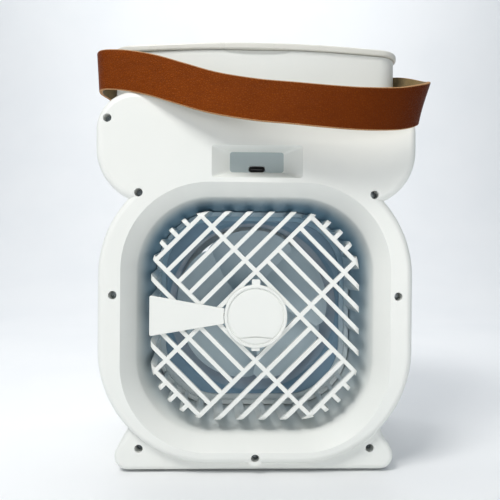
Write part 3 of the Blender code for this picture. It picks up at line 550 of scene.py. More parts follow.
def apply_modifiers(piece):
    bpy.context.view_layer.update()
    graph = bpy.context.evaluated_depsgraph_get()
    mesh = bpy.data.meshes.new_from_object(piece.evaluated_get(graph), depsgraph=graph)
    old = piece.data
    piece.modifiers.clear()
    piece.data = mesh
    bpy.data.meshes.remove(old)


def stand_for(piece, body, slot, *nodes):
    """The piece rides on a body in place of CAD nodes; `slot`, one of the record's finishes, is not used."""
    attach(piece, body)
    if nodes:
        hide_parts(*nodes)
    return piece


def dress(node, finish, round_by=0.0, segments=2):
    """Give a CAD node its finish, and round its sharp edges."""
    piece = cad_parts[node]
    piece.data.materials.clear()
    piece.data.materials.append(finish)
    if round_by:
        merge = piece.modifiers.new("merge", "WELD")
        merge.merge_threshold = 0.00001
        flat = piece.modifiers.new("flat_faces", "DECIMATE")
        flat.decimate_type = "DISSOLVE"
        flat.angle_limit = math.radians(0.5)
        add_edge_round(piece, round_by, segments, 40.0)
        even_shading(piece)
    return piece


# ---------------------------------------------------------------- outlines shared by the casing
def circle_crossing(a, ra, b, rb):
    """The crossing of two circles that lies furthest out in x."""
    gap = Vector(b) - Vector(a)
    along = (ra * ra - rb * rb + gap.length_squared) / (2 * gap.length)
    across = math.sqrt(ra * ra - along * along)
    foot = Vector(a) + gap.normalized() * along
    side = Vector((-gap.y, gap.x)).normalized() * across
    return max(foot + side, foot - side, key=lambda p: p.x)


def angle_from(centre, point):
    return math.degrees(math.atan2(point[1] - centre[1], point[0] - centre[0]))


def shell_outline(inset=0.0):
    """Head over body: two rounded blocks that meet in a crease at the neck."""
    top = (HEAD_HALF - HEAD_TOP_R, HEAD_TOP - HEAD_TOP_R)
    low = (HEAD_HALF - HEAD_LOW_R, HEAD_BOTTOM + HEAD_LOW_R)
    upper = (BODY_HALF - BODY_R, BODY_TOP - BODY_R)
    lower = (BODY_HALF - BODY_R, BODY_BOTTOM + BODY_R)
    neck = circle_crossing(low, HEAD_LOW_R - inset, upper, BODY_R - inset)
    half = arc(top, HEAD_TOP_R - inset, 90, 0, 14)
    half += arc(low, HEAD_LOW_R - inset, 0, angle_from(low, neck), 14)
    half += arc(upper, BODY_R - inset, angle_from(upper, neck), 0, 14)[1:]
    half += arc(lower, BODY_R - inset, 0, -90, 24)
    return mirrored(half)


def base_outline(inset=0.0):
    """The foot: a waist that flares to a rounded bulge over a flat bottom."""
    corner = (BASE_HALF - BASE_CORNER_R, BASE_BOTTOM + BASE_CORNER_R)
    flare_r = 0.020
    flare = (BASE_WAIST_HALF + flare_r, BASE_WAIST_Z)
    half = [(BASE_WAIST_HALF - inset, BASE_WAIST_Z + 0.012)]
    half += arc(flare, flare_r + inset, 180, 222, 8)
    half += arc(corner, BASE_CORNER_R - inset, 30, -90, 12)
    return mirrored(half)


def rounded_end(outline, y_open, y_end, radius, steps=6):
    """Rings of an outline whose far end is rounded over by `radius`."""
    way = math.copysign(1, y_end - y_open)
    rings = [in_y(outline(), y_open)]
    for i in range(steps + 1):
        turn = math.radians(90 * i / steps)
        inset = radius * (1 - math.cos(turn))
        rings.append(in_y(outline(inset), y_end - way * radius * (1 - math.sin(turn))))
    return rings


def shell_half(name, y_open, y_end, base_end, radius, finishes):
    """One casing moulding, hollow and open at y_open."""
    way = math.copysign(1, y_end - y_open)
    shell = Body(name, loft(rounded_end(shell_outline, y_open, y_end, radius)), finishes)
    shell.join(loft(rounded_end(base_outline, y_open, base_end, radius * 0.8)))
    deep = max(WALL, radius)
    inside = [in_y(shell_outline(WALL), y_open - way * WALL),
              in_y(shell_outline(WALL), y_end - way * deep),
              in_y(shell_outline(deep), y_end - way * WALL)]
    shell.cut(loft(inside))
    shell.cut(plate_y(base_outline(WALL), y_open - way * WALL, base_end - way * radius))
    return shell


def tank_plan(outset=0.0, steps=10):
    """Plan of the tank: straight front and sides, a gently bowed back."""
    half = TANK_HALF + outset
    front = TANK_FRONT_Y - outset
    rear = TANK_REAR_Y + outset
    radius = TANK_CORNER_R + outset
    side_y = rear - TANK_BOW - radius
    back = []
    for i in range(1, 16):
        x = (half - radius) * (1 - i / 8)
        back.append((x, rear - TANK_BOW * (x / (half - radius)) ** 2))
    points = arc((half - radius, side_y), radius, 0, 80, steps) + back
    points += arc((-half + radius, side_y), radius, 100, 180, steps)
    points += arc((-half + radius, front + radius), radius, 180, 270, steps)
    points += arc((half - radius, front + radius), radius, 270, 360, steps)
    return points


def bowl_rings(outset, back, floor):
    """The air inlet: a chamfer down to a lip, then a wall that narrows to the cage's seat."""
    lip_y = REAR_Y - LIP_DEPTH
    slope = (RECESS_HALF - LIP_HALF) / LIP_DEPTH
    mouth = LIP_HALF + slope * (back - lip_y)
    rings = [in_y(rounded_square(mouth + outset, RECESS_R + outset), back)]
    rings.append(in_y(rounded_square(LIP_HALF + outset, LIP_R + outset), lip_y))
    steps = 12
    for i in range(1, steps + 1):
        share = i / steps
        y = lip_y + (floor - lip_y) * share
        ease = math.sin(math.radians(90 * share))
        half = LIP_HALF + (BOWL_FLOOR_HALF - LIP_HALF) * ease
        radius = LIP_R + (BOWL_FLOOR_R - LIP_R) * ease
        rings.append(in_y(rounded_square(half + outset, radius + outset), y))
    return rings


def usb_rings(outset, back, floor):
    """The socket's pocket: a rectangle that tapers inwards."""
    mouth = rounded_rect(USB_MOUTH[0] + outset, USB_MOUTH[1] + outset, 0.0016, (0, USB_Z), 4)
    end = rounded_rect(USB_FLOOR[0] + outset, USB_FLOOR[1] + outset, 0.0014, (0, USB_FLOOR_Z), 4)
    return [in_y(mouth, back), in_y(mouth, REAR_Y), in_y(end, floor)]


def screw_seats():
    """Where each case screw sits: its place in x and z, and the face that its hole opens on."""
    seats = []
    for index in range(1, CASE_SCREWS + 1):
        x, z = middle_of(f"case_screw_{index}")
        on_base = z < BODY_BOTTOM + 0.012 and abs(x) > 0.001
        seats.append((index, x, z, BASE_REAR_Y if on_base else REAR_Y))
    return seats


# ---------------------------------------------------------------- casing
def mark_faces(piece, index, test):
    """Give the faces whose middle passes the test another of the piece's finishes."""
    for face in piece.data.polygons:
        if test(face.center):
            face.material_index = index


def in_inlet(point):
    reach = max(abs(point.x), abs(point.z - FAN_Z))
    return reach < LIP_HALF + 0.0002 and BOWL_FLOOR_Y - 0.004 < point.y < REAR_Y - LIP_DEPTH + 0.0005


def in_pocket(point):
    low, high = REAR_Y - USB_DEPTH - 0.0005, REAR_Y - USB_DEPTH + 0.0008
    return low < point.y < high and abs(point.x) < USB_MOUTH[0] and abs(point.z - USB_Z) < USB_MOUTH[1]


def make_rear_cover(finish, inlet, pocket):
    shell = shell_half("rear_cover", SEAM_Y, REAR_Y, BASE_REAR_Y, 0.0042, [finish, inlet, pocket])
    bosses = bmesh.new()
    holes = bmesh.new()
    for _, x, z, back in screw_seats():
        floor = back - SCREW_SINK
        turned([(SCREW_BOSS_R, floor - 0.002), (SCREW_BOSS_R, back - 0.001)], 20, (x, z), bosses)
        hole = [(SCREW_PILOT_R, floor - 0.006), (SCREW_PILOT_R, floor)]
        hole += [(SCREW_R, floor), (SCREW_R, back + OVERCUT)]
        turned(hole, 28, (x, z), holes)
    shell.join(bosses)
    pocket_floor = REAR_Y - USB_DEPTH
    shell.join(loft(bowl_rings(BOWL_WALL, REAR_Y - WALL * 0.5, BOWL_FLOOR_Y - BOWL_WALL)))
    shell.join(loft(usb_rings(USB_WALL, REAR_Y - WALL * 0.5, pocket_floor - USB_WALL)))
    shell.cut(loft(bowl_rings(0.0, REAR_Y + OVERCUT, BOWL_FLOOR_Y)))
    shell.cut(plate_y(rounded_square(INLET_HALF, INLET_R), BOWL_FLOOR_Y - 0.01, BOWL_FLOOR_Y + 0.01))
    shell.cut(loft(usb_rings(0.0, REAR_Y + OVERCUT, pocket_floor)))
    slot = rounded_rect(*USB_SLOT, USB_SLOT[1] * 0.95, (0, USB_SLOT_Z), 8)
    shell.cut(plate_y(slot, pocket_floor - 0.006, pocket_floor + OVERCUT))
    shell.cut(holes)
    shell.cut(plate_z(tank_plan(GAP), TANK_FLOOR_Z - 0.01, HEAD_TOP + 0.01))
    cover = shell.finished(soften=0.0006, segments=3)
    # The inlet's faces take the finish that carries painted shade deep inside.
    mark_faces(cover, 1, in_inlet)
    # The pocket's floor takes the grey finish as painted shade.
    mark_faces(cover, 2, in_pocket)
    stand_for(cover, "casing", "casing_white", "rear_shell")


def make_front_body(finish):
    shell = shell_half("main_body", SEAM_Y - GAP, FRONT_Y, BASE_FRONT_Y, 0.0065, [finish])
    outlet_r = HIGH["front_grille"].x + GAP
    rim_r = outlet_r + OUTLET_RIM
    collar_r = rim_r + 0.003
    shell.join(turned([(collar_r, FRONT_Y + 0.011), (collar_r, FRONT_Y + 0.001)], ROUND_STEPS, (0, FAN_Z)))
    rim = [(outlet_r, FRONT_Y + 0.02), (outlet_r, FRONT_Y + 0.005)]
    rim += [(rim_r, FRONT_Y), (rim_r, FRONT_Y - 0.004)]
    shell.cut(turned(rim, ROUND_STEPS, (0, FAN_Z)))
    for node in ("control_panel", "mist_bar"):
        half_h = (HIGH[node].z - LOW[node].z) / 2
        seat = rounded_rect(HIGH[node].x + GAP, half_h + GAP, half_h, (0, middle_of(node)[1]), 12)
        shell.cut(plate_y(seat, FRONT_Y - 0.004, FRONT_Y + 0.006))
    shell.cut(plate_z(tank_plan(GAP), TANK_FLOOR_Z - 0.01, HEAD_TOP + 0.01))
    low, high = LOW["base_plate"], HIGH["base_plate"]
    under = rounded_rect(high.x + GAP, (high.y - low.y) / 2 + GAP, 0.010, (0, (low.y + high.y) / 2), 8)
    shell.cut(plate_z(under, -0.004, BASE_BOTTOM + 0.008))
    body = shell.finished(soften=0.0005, segments=3)
    stand_for(body, "casing", "casing_white", "front_shell")


# ---------------------------------------------------------------- grilles
def turned_quarter(points, quarter):
    """Turn points about the fan's axis by 45 degrees plus a number of quarter turns."""
    angle = math.radians(45 + 90 * quarter)
    c, s = math.cos(angle), math.sin(angle)
    return [(v * s - u * c, FAN_Z + u * s + v * c) for u, v in points]


def grille_gaps(far, near_y, back_y, hub):
    """Prisms for every gap of the pinwheel: four blocks of parallel bars round a square hub."""
    gaps = bmesh.new()
    half = BAR / 2
    inner = HUB_TANGENT - half
    outer = HUB_TANGENT + half

    def gap(u0, u1, v0, v1, quarter):
        ring = turned_quarter([(u0, v0), (u1, v0), (u1, v1), (u0, v1)], quarter)
        plate_y(ring, near_y, back_y, gaps)

    rim = HUB_TANGENT + BARS_PER_SIDE * BAR_PITCH
    teeth = [-HUB_TANGENT] + [HUB_TANGENT - k * BAR_PITCH for k in range(3, -1, -1)]
    for quarter in range(4):
        for k in range(BARS_PER_SIDE):
            low = HUB_TANGENT + k * BAR_PITCH + half
            high = low + BAR_PITCH - BAR
            gap(-inner, inner, low, high, quarter)
            gap(outer, far, low, high, quarter)
        for left, right in zip(teeth, teeth[1:]):
            gap(left + half, right - half, rim + half, far, quarter)
        gap(outer, far, rim + half, far, quarter)
        reach = math.hypot(inner, 0.28 * inner)
        bend = arc((0.0, 0.0), max(hub, reach * 0.98), 66, 24, 10)
        corner = [(inner, inner), (bend[0][0], inner)] + bend + [(inner, bend[-1][1])]
        plate_y(turned_quarter(corner, quarter), near_y, back_y, gaps)
    return gaps


def make_cage(finish):
    """A cup with bars: its rim is rounded over and its sides stand on a solid ring."""
    cup = [in_y(rounded_square(CAGE_BASE_HALF, CAGE_R + 0.0018), CAGE_BASE_Y)]
    room = [in_y(rounded_square(CAGE_BASE_HALF - BAR, CAGE_R - 0.0005), CAGE_BASE_Y - 0.004)]
    for turn in (0, 22, 45, 67, 90):
        inset = CAGE_EDGE_R * (1 - cosd(turn))
        y = CAGE_FACE_Y - CAGE_EDGE_R * (1 - sind(turn))
        cup.append(in_y(rounded_square(CAGE_HALF - inset, CAGE_R - inset), y))
        within = BAR + inset / 2
        room.append(in_y(rounded_square(CAGE_HALF - within, CAGE_R - within), y - BAR))
    cage = Body("cage_grille", loft(cup), [finish]).cut(loft(room))
    cage.cut(grille_gaps(0.080, CAGE_BASE_Y + CAGE_BASE_HEIGHT, CAGE_FACE_Y + 0.003, HUB_R))
    stand_for(cage.finished(soften=0.00035, segments=2), "casing", "casing_white", "rear_grille")


def make_hub_cap(finish):
    """The motor's cap: a shallow groove inside its rim, a tab above and below, and a curved notch."""
    base_y = LOW["motor_hub_cap"].y
    top = HUB_TOP_Y
    rim = HUB_R - 0.0015
    cap = [(HUB_R - 0.0022, base_y), (HUB_R - 0.0002, base_y), (HUB_R, base_y + 0.0003)]
    cap += arc((HUB_R - 0.0007, top - 0.0007), 0.0007, 0, 90, 5)
    groove = ((0.0, 0.0), (0.0002, 0.0008), (0.0005, 0.0009),
              (0.0009, 0.0005), (0.0014, 0.0003), (0.0060, 0.0002))
    cap += [(rim - inward, top - sunk) for inward, sunk in groove]
    body = Body("hub_cap", turned(cap, ROUND_STEPS, (0, FAN_Z)), [finish])
    upper = (HUB_R - 0.001, HIGH["motor_hub_cap"].z - FAN_Z)
    lower = (LOW["motor_hub_cap"].z - FAN_Z, 0.001 - HUB_R)
    for low, high in (upper, lower):
        tab = rounded_rect(0.0023, (high - low) / 2, 0.0005, (0, FAN_Z + (high + low) / 2), 3)
        body.join(plate_y(tab, base_y, top - 0.0006))
    notch = []
    notch_half = 0.0098
    for drop, flip in ((0.0, 1), (0.0008, -1)):
        xs = [i / 12 * notch_half * flip for i in range(-12, 13)]
        rise = [0.0011 * math.cos(math.pi * x / (2 * notch_half)) for x in xs]
        notch += [(x, FAN_Z - 0.0119 - drop + z) for x, z in zip(xs, rise)]
    body.cut(plate_y(notch, top - 0.0010, top + 0.001))
    stand_for(body.finished(soften=0.00012, segments=2), "casing", "casing_white", "motor_hub_cap")


def make_lead_arm(finish):
    """The tapered arm that covers the motor's lead; its narrow end wraps the cap."""
    low, high = LOW["wire_cover"], HIGH["wire_cover"]
    tip = 0.0010
    neck = 0.0042
    half = (high.z - low.z) / 2
    seat = HUB_R + GAP * 0.7
    spread = math.degrees(math.asin(neck / seat))
    arm = arc((high.x - tip, FAN_Z + half - tip), tip, 80, 0, 5)
    arm += arc((high.x - tip, FAN_Z - half + tip), tip, 0, -80, 5)
    arm += arc((0.0, FAN_Z), seat, -spread, spread, 8)
    cover = Body("lead_cover", plate_y(arm, low.y, high.y), [finish])
    stand_for(cover.finished(soften=0.0004, segments=3), "casing", "casing_white", "wire_cover")


def make_outlet_grille(finish):
    """A round pinwheel grille: the gaps are kept within a window inside its band."""
    low, high = LOW["front_grille"], HIGH["front_grille"]
    disc = turned([(high.x, high.y), (high.x, low.y)], ROUND_STEPS, (0, FAN_Z))
    window_r = high.x - OUTLET_BAND
    ring = turned([(window_r, high.y + OVERCUT), (window_r, low.y - OVERCUT)], ROUND_STEPS, (0, FAN_Z))
    window = Body("window", grille_gaps(0.075, low.y - 0.001, high.y + 0.001, HUB_R), []).keep_within(ring)
    apply_modifiers(window.piece)
    bm = bmesh.new()
    bm.from_mesh(window.piece.data)
    for other in [window.piece] + window.tools:
        bpy.data.objects.remove(other, do_unlink=True)
    grille = Body("outlet_grille", disc, [finish]).cut(bm)
    stand_for(grille.finished(soften=0.0004, segments=2), "casing", "casing_white", "front_grille")


def make_outlet_cap(finish):
    low, high = LOW["front_grille_cap"], HIGH["front_grille_cap"]
    rise = 0.0012
    profile = [(high.x, high.y), (high.x, low.y + rise)]
    profile += dome(high.x, low.y + rise, -rise, (20, 40, 60, 75, 85))
    cap = object_from("outlet_grille_cap", turned(profile, ROUND_STEPS, (0, FAN_Z)), [finish])
    even_shading(cap)
    stand_for(cap, "casing", "casing_white", "front_grille_cap")


# ---------------------------------------------------------------- fan
def blade(bm, turn, low, high, across=18, along=14):
    """One wide twisted blade, as two skins a wall apart joined round their edge."""
    tip_r = high.x
    root_r = FAN_HUB_R - 0.002
    depth = high.y - low.y - 0.003
    middle = (high.y + low.y) / 2
    skins = []
    for side in (-0.5, 0.5):
        grid = []
        for i in range(along + 1):
            share = i / along
            radius = root_r + (tip_r - root_r) * share
            span = math.radians(38 + 3 * math.sin(math.pi * share) + share ** 4)
            row = []
            for j in range(across + 1):
                chord = 2 * j / across - 1
                round_off = 0.0020 * share ** 3 * chord ** 2 + 0.0035 * share ** 3 * chord ** 12
                angle = math.radians(turn + 14 * share) + chord * span
                wall = BLADE_THICK * (1 - 0.55 * chord ** 4)
                y = middle + depth / 2 * chord * (1 - 0.25 * share) * 0.985 + side * wall
                r = radius - round_off
                row.append(bm.verts.new((r * math.cos(angle), y, FAN_Z + r * math.sin(angle))))
            grid.append(row)
        skins.append(grid)
    back, front = skins
    for i in range(along):
        for j in range(across):
            bm.faces.new((back[i][j], back[i][j + 1], back[i + 1][j + 1], back[i + 1][j]))
            bm.faces.new((front[i][j], front[i + 1][j], front[i + 1][j + 1], front[i][j + 1]))
    rim = [(0, j) for j in range(across)] + [(i, across) for i in range(along)]
    rim += [(along, j) for j in range(across, 0, -1)] + [(i, 0) for i in range(along, 0, -1)]
    for (i, j), (k, m) in zip(rim, rim[1:] + rim[:1]):
        bm.faces.new((back[i][j], back[k][m], front[k][m], front[i][j]))


def make_fan(finish):
    low, high = LOW["fan_impeller"], HIGH["fan_impeller"]
    nose_r = 0.003
    hub = [(FAN_HUB_R - 0.001, high.y), (FAN_HUB_R, high.y - 0.001), (FAN_HUB_R, low.y + nose_r)]
    hub += arc((FAN_HUB_R - nose_r, low.y + nose_r), nose_r, 0, -80, 5)[1:]
    fan = Body("fan_blades", turned(hub, 64, (0, FAN_Z)), [finish])
    blades = bmesh.new()
    for i in range(BLADES):
        blade(blades, 360 * i / BLADES, low, high)
    fan.join(blades)
    bore_r = 0.0015
    fan.cut(turned([(bore_r, high.y + OVERCUT), (bore_r, low.y + 0.0035)], 24, (0, FAN_Z)))
    stand_for(fan.finished(soften=0.0002, segments=2), "fan_rotor", "blade_grey", "fan_impeller")


def make_duct(finish):
    low, high = LOW["fan_shroud"], HIGH["fan_shroud"]
    outer_r = DUCT_R + DUCT_WALL
    plate = plate_y(rounded_square(high.x, DUCT_CORNER_R), high.y - 0.002, high.y)
    body = Body("fan_duct", plate, [finish])
    body.join(turned([(outer_r, high.y - 0.001), (outer_r, low.y)], ROUND_STEPS, (0, FAN_Z)))
    throat = [(DUCT_R + 0.0030, high.y + 0.001), (DUCT_R + 0.0022, high.y - 0.0004)]
    throat += [(DUCT_R + 0.0012, high.y - 0.0012), (DUCT_R + 0.0004, high.y - 0.0024)]
    throat += [(DUCT_R, high.y - 0.004), (DUCT_R, low.y - OVERCUT)]
    body.cut(turned(throat, ROUND_STEPS, (0, FAN_Z)))
    stand_for(body.finished(soften=0.0003), "casing", "duct_white", "fan_shroud")


# ---------------------------------------------------------------- tank and lid
def make_tank(finish):
    """An open box with bosses for the studs, ports for the wicks and a finger scoop under the lid."""
    tank = Body("tank_body", plate_z(tank_plan(), TANK_FLOOR_Z, TANK_RIM_Z), [finish])
    tank.cut(plate_z(tank_plan(-TANK_WALL), TANK_FLOOR_Z + TANK_WALL, TANK_RIM_Z + 0.01))
    bosses = bmesh.new()
    holes = bmesh.new()
    for side in (-1, 1):
        boss_r, hole_r = 0.0052, STUD_R + GAP
        turned_x([(boss_r, side * (TANK_HALF - 0.001)), (boss_r, side * (TANK_HALF - 0.0075))], 32, bosses)
        turned_x([(hole_r, side * (TANK_HALF + OVERCUT)), (hole_r, side * (TANK_HALF - 0.006))], 32, holes)
    tank.join(bosses).cut(holes)
    ports = bmesh.new()
    port = [(WICK_PORT_R, TANK_FRONT_Y - OVERCUT), (WICK_PORT_R, TANK_FRONT_Y + TANK_WALL + OVERCUT)]
    for index in range(1, NOZZLES + 1):
        turned(port, 24, middle_of(f"wick_{index}"), ports)
    tank.cut(ports)
    scoop = dome(SCOOP_HALF, TANK_RIM_Z, -SCOOP_HEIGHT, [180 * i / 32 for i in range(33)])
    scoop = [(SCOOP_HALF, TANK_RIM_Z + OVERCUT)] + scoop + [(-SCOOP_HALF, TANK_RIM_Z + OVERCUT)]
    tank.cut(plate_y(scoop, TANK_REAR_Y - SCOOP_DEPTH, TANK_REAR_Y + 0.01))
    stand_for(tank.finished(soften=0.0005, segments=3), "casing", "tank_white", "water_tank")


def make_lid(finish):
    """A slab with a rounded rim, a gentle crown and a plug that drops into the tank's mouth."""
    low = TANK_RIM_Z + GAP
    under_r = 0.0008
    shoulder_z = LID_TOP_Z - 0.0004
    rings = [in_z(tank_plan(LID_OVERHANG - under_r), low)]
    for a in (30, 60, 90):
        outset = LID_OVERHANG - under_r + under_r * sind(a)
        rings.append(in_z(tank_plan(outset), low + under_r * (1 - cosd(a))))
    for a in (0, 20, 40, 60, 75, 90):
        outset = LID_OVERHANG - LID_RIM_R * (1 - cosd(a))
        rings.append(in_z(tank_plan(outset), shoulder_z - LID_RIM_R * (1 - sind(a))))
    rings.append(in_z(tank_plan(LID_OVERHANG - 0.006), LID_TOP_Z - 0.00015))
    rings.append(in_z(tank_plan(LID_OVERHANG - 0.014), LID_TOP_Z))
    lid = Body("lid_shell", loft(rings), [finish])
    plug = -(TANK_WALL + 0.0022)
    lid.join(plate_z(tank_plan(plug), low - 0.0045, low + 0.001))
    lid.cut(plate_z(tank_plan(plug - 0.0018), low - 0.006, low))
    stand_for(lid.finished(soften=0.0), "lid", "lid_white", "tank_lid")


# ---------------------------------------------------------------- carry strap
# The strap's middle line from the left stud round the back to the right one, and how far its
# upper edge leans out in degrees.
STRAP_ROUTE = (
    (0.0850, 0.0080, 0.2220, 0),
    (0.0851, 0.0150, 0.2228, 0),
    (0.0870, 0.0260, 0.2230, 0),
    (0.0896, 0.0400, 0.2228, 3),
    (0.0855, 0.0525, 0.2220, 4),
    (0.0730, 0.0585, 0.2203, 5),
    (0.0580, 0.0640, 0.2165, 4),
    (0.0425, 0.0690, 0.2110, 2),
    (0.0240, 0.0740, 0.2048, 0),
    (0.0020, 0.0790, 0.2002, 0),
    (-0.0170, 0.0820, 0.1980, 0),
    (-0.0350, 0.0835, 0.1962, 2),
    (-0.0530, 0.0830, 0.1954, 6),
    (-0.0715, 0.0793, 0.1966, 12),
    (-0.0838, 0.0725, 0.2003, 16),
    (-0.0895, 0.0630, 0.2046, 18),
    (-0.0912, 0.0500, 0.2085, 14),
    (-0.0890, 0.0330, 0.2150, 6),
    (-0.0866, 0.0220, 0.2188, 2),
    (-0.0851, 0.0145, 0.2208, 0),
    (-0.0850, 0.0080, 0.2220, 0),
)


def smooth_through(points, per_span):
    """Points on a Catmull-Rom curve through the route's own points."""
    found = []
    last = len(points) - 1
    for i in range(last):
        p0, p1, p2, p3 = (points[max(0, min(last, i + k))] for k in (-1, 0, 1, 2))
        for j in range(per_span):
            t = j / per_span
            found.append(tuple(
                0.5 * (2 * b + (c - a) * t + (2 * a - 5 * b + 4 * c - d) * t * t
                       + (3 * b - 3 * c + d - a) * t ** 3)
                for a, b, c, d in zip(p0, p1, p2, p3)))
    return found + [tuple(points[-1])]


def strap_frames(per_span):
    """Middle, width direction and outward direction at each station of the strap."""
    line = smooth_through(STRAP_ROUTE, per_span)
    frames = []
    for i, station in enumerate(line):
        before = Vector(line[max(0, i - 1)][:3])
        after = Vector(line[min(len(line) - 1, i + 1)][:3])
        along = (after - before).normalized()
        if i in (0, len(line) - 1):
            along = Vector((0, 1 if i == 0 else -1, 0))
        up = (Vector((0, 0, 1)) - along * along.z).normalized()
        out = along.cross(up).normalized()
        turn = Matrix.Rotation(math.radians(station[3]), 3, along)
        frames.append((Vector(station[:3]), turn @ up, turn @ out))
    return frames


def strap_section(half):
    """Across the strap: grain face, rounded painted edge, flesh face; (width, depth, finish) points."""
    t = STRAP_THICK / 2
    lip = 0.0005
    across = [1 - 2 * i / 8 for i in range(9)]
    edge = [(half - lip * 0.3, t - lip * 0.35, 1), (half, t - lip, 1), (half, 0.0, 1), (half, -t + lip, 1)]
    points = [((half - lip) * share, t, 0) for share in across]
    points += [(-w, d, mark) for w, d, mark in edge]
    points += [(-(half - lip * 0.4) * share, -t, 2) for share in across]
    return points + edge[::-1]


def make_strap(face, edge, flesh):
    """A band swept along the route, with rounded tips past both studs."""
    frames = strap_frames(8)
    half = STRAP_WIDTH / 2
    tips = []
    for middle, up, out in (frames[0], frames[-1]):
        turns = [88 - 11.5 * i for i in range(8)]
        tips.append([(middle - Vector((0, half * sind(a), 0)), up, out, half * cosd(a)) for a in turns])
    path = tips[0] + [(middle, up, out, half) for middle, up, out in frames] + list(reversed(tips[1]))
    bm = bmesh.new()
    loops = []
    for middle, up, out, wide in path:
        squeeze = wide / half
        loops.append([bm.verts.new(middle + up * (w * squeeze) + out * d) for w, d, _ in strap_section(half)])
    marks = [m for _, _, m in strap_section(half)]
    count = len(marks)
    for a, b in zip(loops, loops[1:]):
        for i in range(count):
            j = (i + 1) % count
            patch = bm.faces.new((a[i], a[j], b[j], b[i]))
            patch.material_index = marks[i] if marks[i] == marks[j] else 1
    for loop in (loops[0], loops[-1]):
        bm.faces.new(loop).material_index = 1
    strap = Body("leather_strap", bm, [face, edge, flesh])
    holes = bmesh.new()
    for side in (-1, 1):
        turned_x([(STUD_R + GAP, side * 0.080), (STUD_R + GAP, side * 0.090)], 32, holes)
    strap.cut(holes)
    stand_for(strap.finished(soften=0.0, smooth=50.0), "strap", "strap_leather", "carry_strap")


def make_strap_fittings(brass, rubber):
    """Domed studs with a turned groove, on soft washers."""
    for side, name in ((1, "left"), (-1, "right")):
        node = f"strap_stud_{name}"
        inner = min(abs(LOW[node].x), abs(HIGH[node].x))
        outer = max(abs(LOW[node].x), abs(HIGH[node].x))
        seat = outer - 0.0025
        rim = ((0.0003, 0.0), (0.0, 0.0003), (0.0, 0.0007),
               (0.0004, 0.0011), (0.0010, 0.0011), (0.0012, 0.0014))
        profile = [(STUD_R, inner), (STUD_R, seat)]
        profile += [(STUD_HEAD_R - inward, seat + rise) for inward, rise in rim]
        crown_r, crown_x = STUD_HEAD_R - 0.0012, seat + 0.0014
        profile += dome(crown_r, crown_x, outer - crown_x, (15, 30, 45, 60, 75, 86))
        turned_stud = turned_x([(r, side * x) for r, x in profile], 48)
        stud = object_from(f"domed_stud_{name}", turned_stud, [brass], 35)
        even_shading(stud)
        stand_for(stud, "casing", "stud_brass", node)
        dress(f"strap_washer_{name}", rubber)


# ---------------------------------------------------------------- small pieces
def make_screws(finish):
    """Pan-head screws with a cross recess, sunk in their bosses."""
    for index, x, z, _ in screw_seats():
        low, high = LOW[f"case_screw_{index}"], HIGH[f"case_screw_{index}"]
        seat = high.y - SCREW_HEAD_HEIGHT
        shank = [(0.0002, low.y), (SCREW_SHANK_R, low.y + 0.0014), (SCREW_SHANK_R, seat)]
        rim = [(SCREW_HEAD_R, seat), (SCREW_HEAD_R, seat + 0.0007)]
        profile = shank + rim + dome(SCREW_HEAD_R, seat + 0.0007, 0.0008, (25, 50, 75, 85))
        screw = Body(f"case_screw_head_{index}", turned(profile, 32, (x, z)), [finish])
        for wide, tall in ((0.0011, 0.00028), (0.00028, 0.0011)):
            slot = [(x + i * wide, z + k * tall) for i, k in ((-1, -1), (1, -1), (1, 1), (-1, 1))]
            screw.cut(plate_y(slot, seat + 0.0004, high.y + 0.001))
        stand_for(screw.finished(soften=0.0), "casing", "plain_steel", f"case_screw_{index}")


def make_mist_row(white, grey, steel, wick):
    """Ring nozzles in a bar, each with its mesh disc and its wick."""
    dress("mist_bar", grey, 0.0003)
    for index in range(1, NOZZLES + 1):
        low, high = LOW[f"mist_nozzle_{index}"], HIGH[f"mist_nozzle_{index}"]
        r = (high.x - low.x) / 2
        edge_r = 0.0006
        profile = [(0.0020, high.y), (r, high.y), (r, low.y + edge_r)]
        profile += rounded_edge(r, low.y, edge_r, (30, 60, 90))
        profile += [(r - 0.0013, low.y), (r - 0.0020, low.y + 0.0006)]
        profile += [(0.0022, low.y + 0.0014), (0.0020, low.y + 0.0018)]
        ring = turned(profile, 40, middle_of(f"mist_nozzle_{index}"), closed=True)
        nozzle = object_from(f"nozzle_ring_{index}", ring, [white], 40)
        stand_for(nozzle, "casing", "casing_white", f"mist_nozzle_{index}")
        dress(f"atomiser_disc_{index}", steel)
        dress(f"wick_{index}", wick)


def make_controls(grey, white, lamp):
    dress("control_panel", grey, 0.00025)
    for index, name in enumerate(("power", "wind", "mist", "light")):
        low, high = LOW[f"button_{name}"], HIGH[f"button_{name}"]
        centre = middle_of(f"button_{name}")
        r = (high.x - low.x) / 2
        edge_r = 0.0008
        profile = [(r - 0.0012, high.y), (r, high.y - 0.0004), (r, low.y + edge_r)]
        profile += rounded_edge(r, low.y, edge_r, (22, 45, 67, 90))
        profile += [(r * 0.6, low.y + 0.00022), (r * 0.3, low.y + 0.00034)]
        button = Body(f"key_{name}", turned(profile, 56, centre), [white, lamp])
        button.cut(key_mark(index, centre, low.y))
        made = button.finished(soften=0.0, smooth=38)
        stand_for(made, f"{name}_button", "button_white", f"button_{name}")


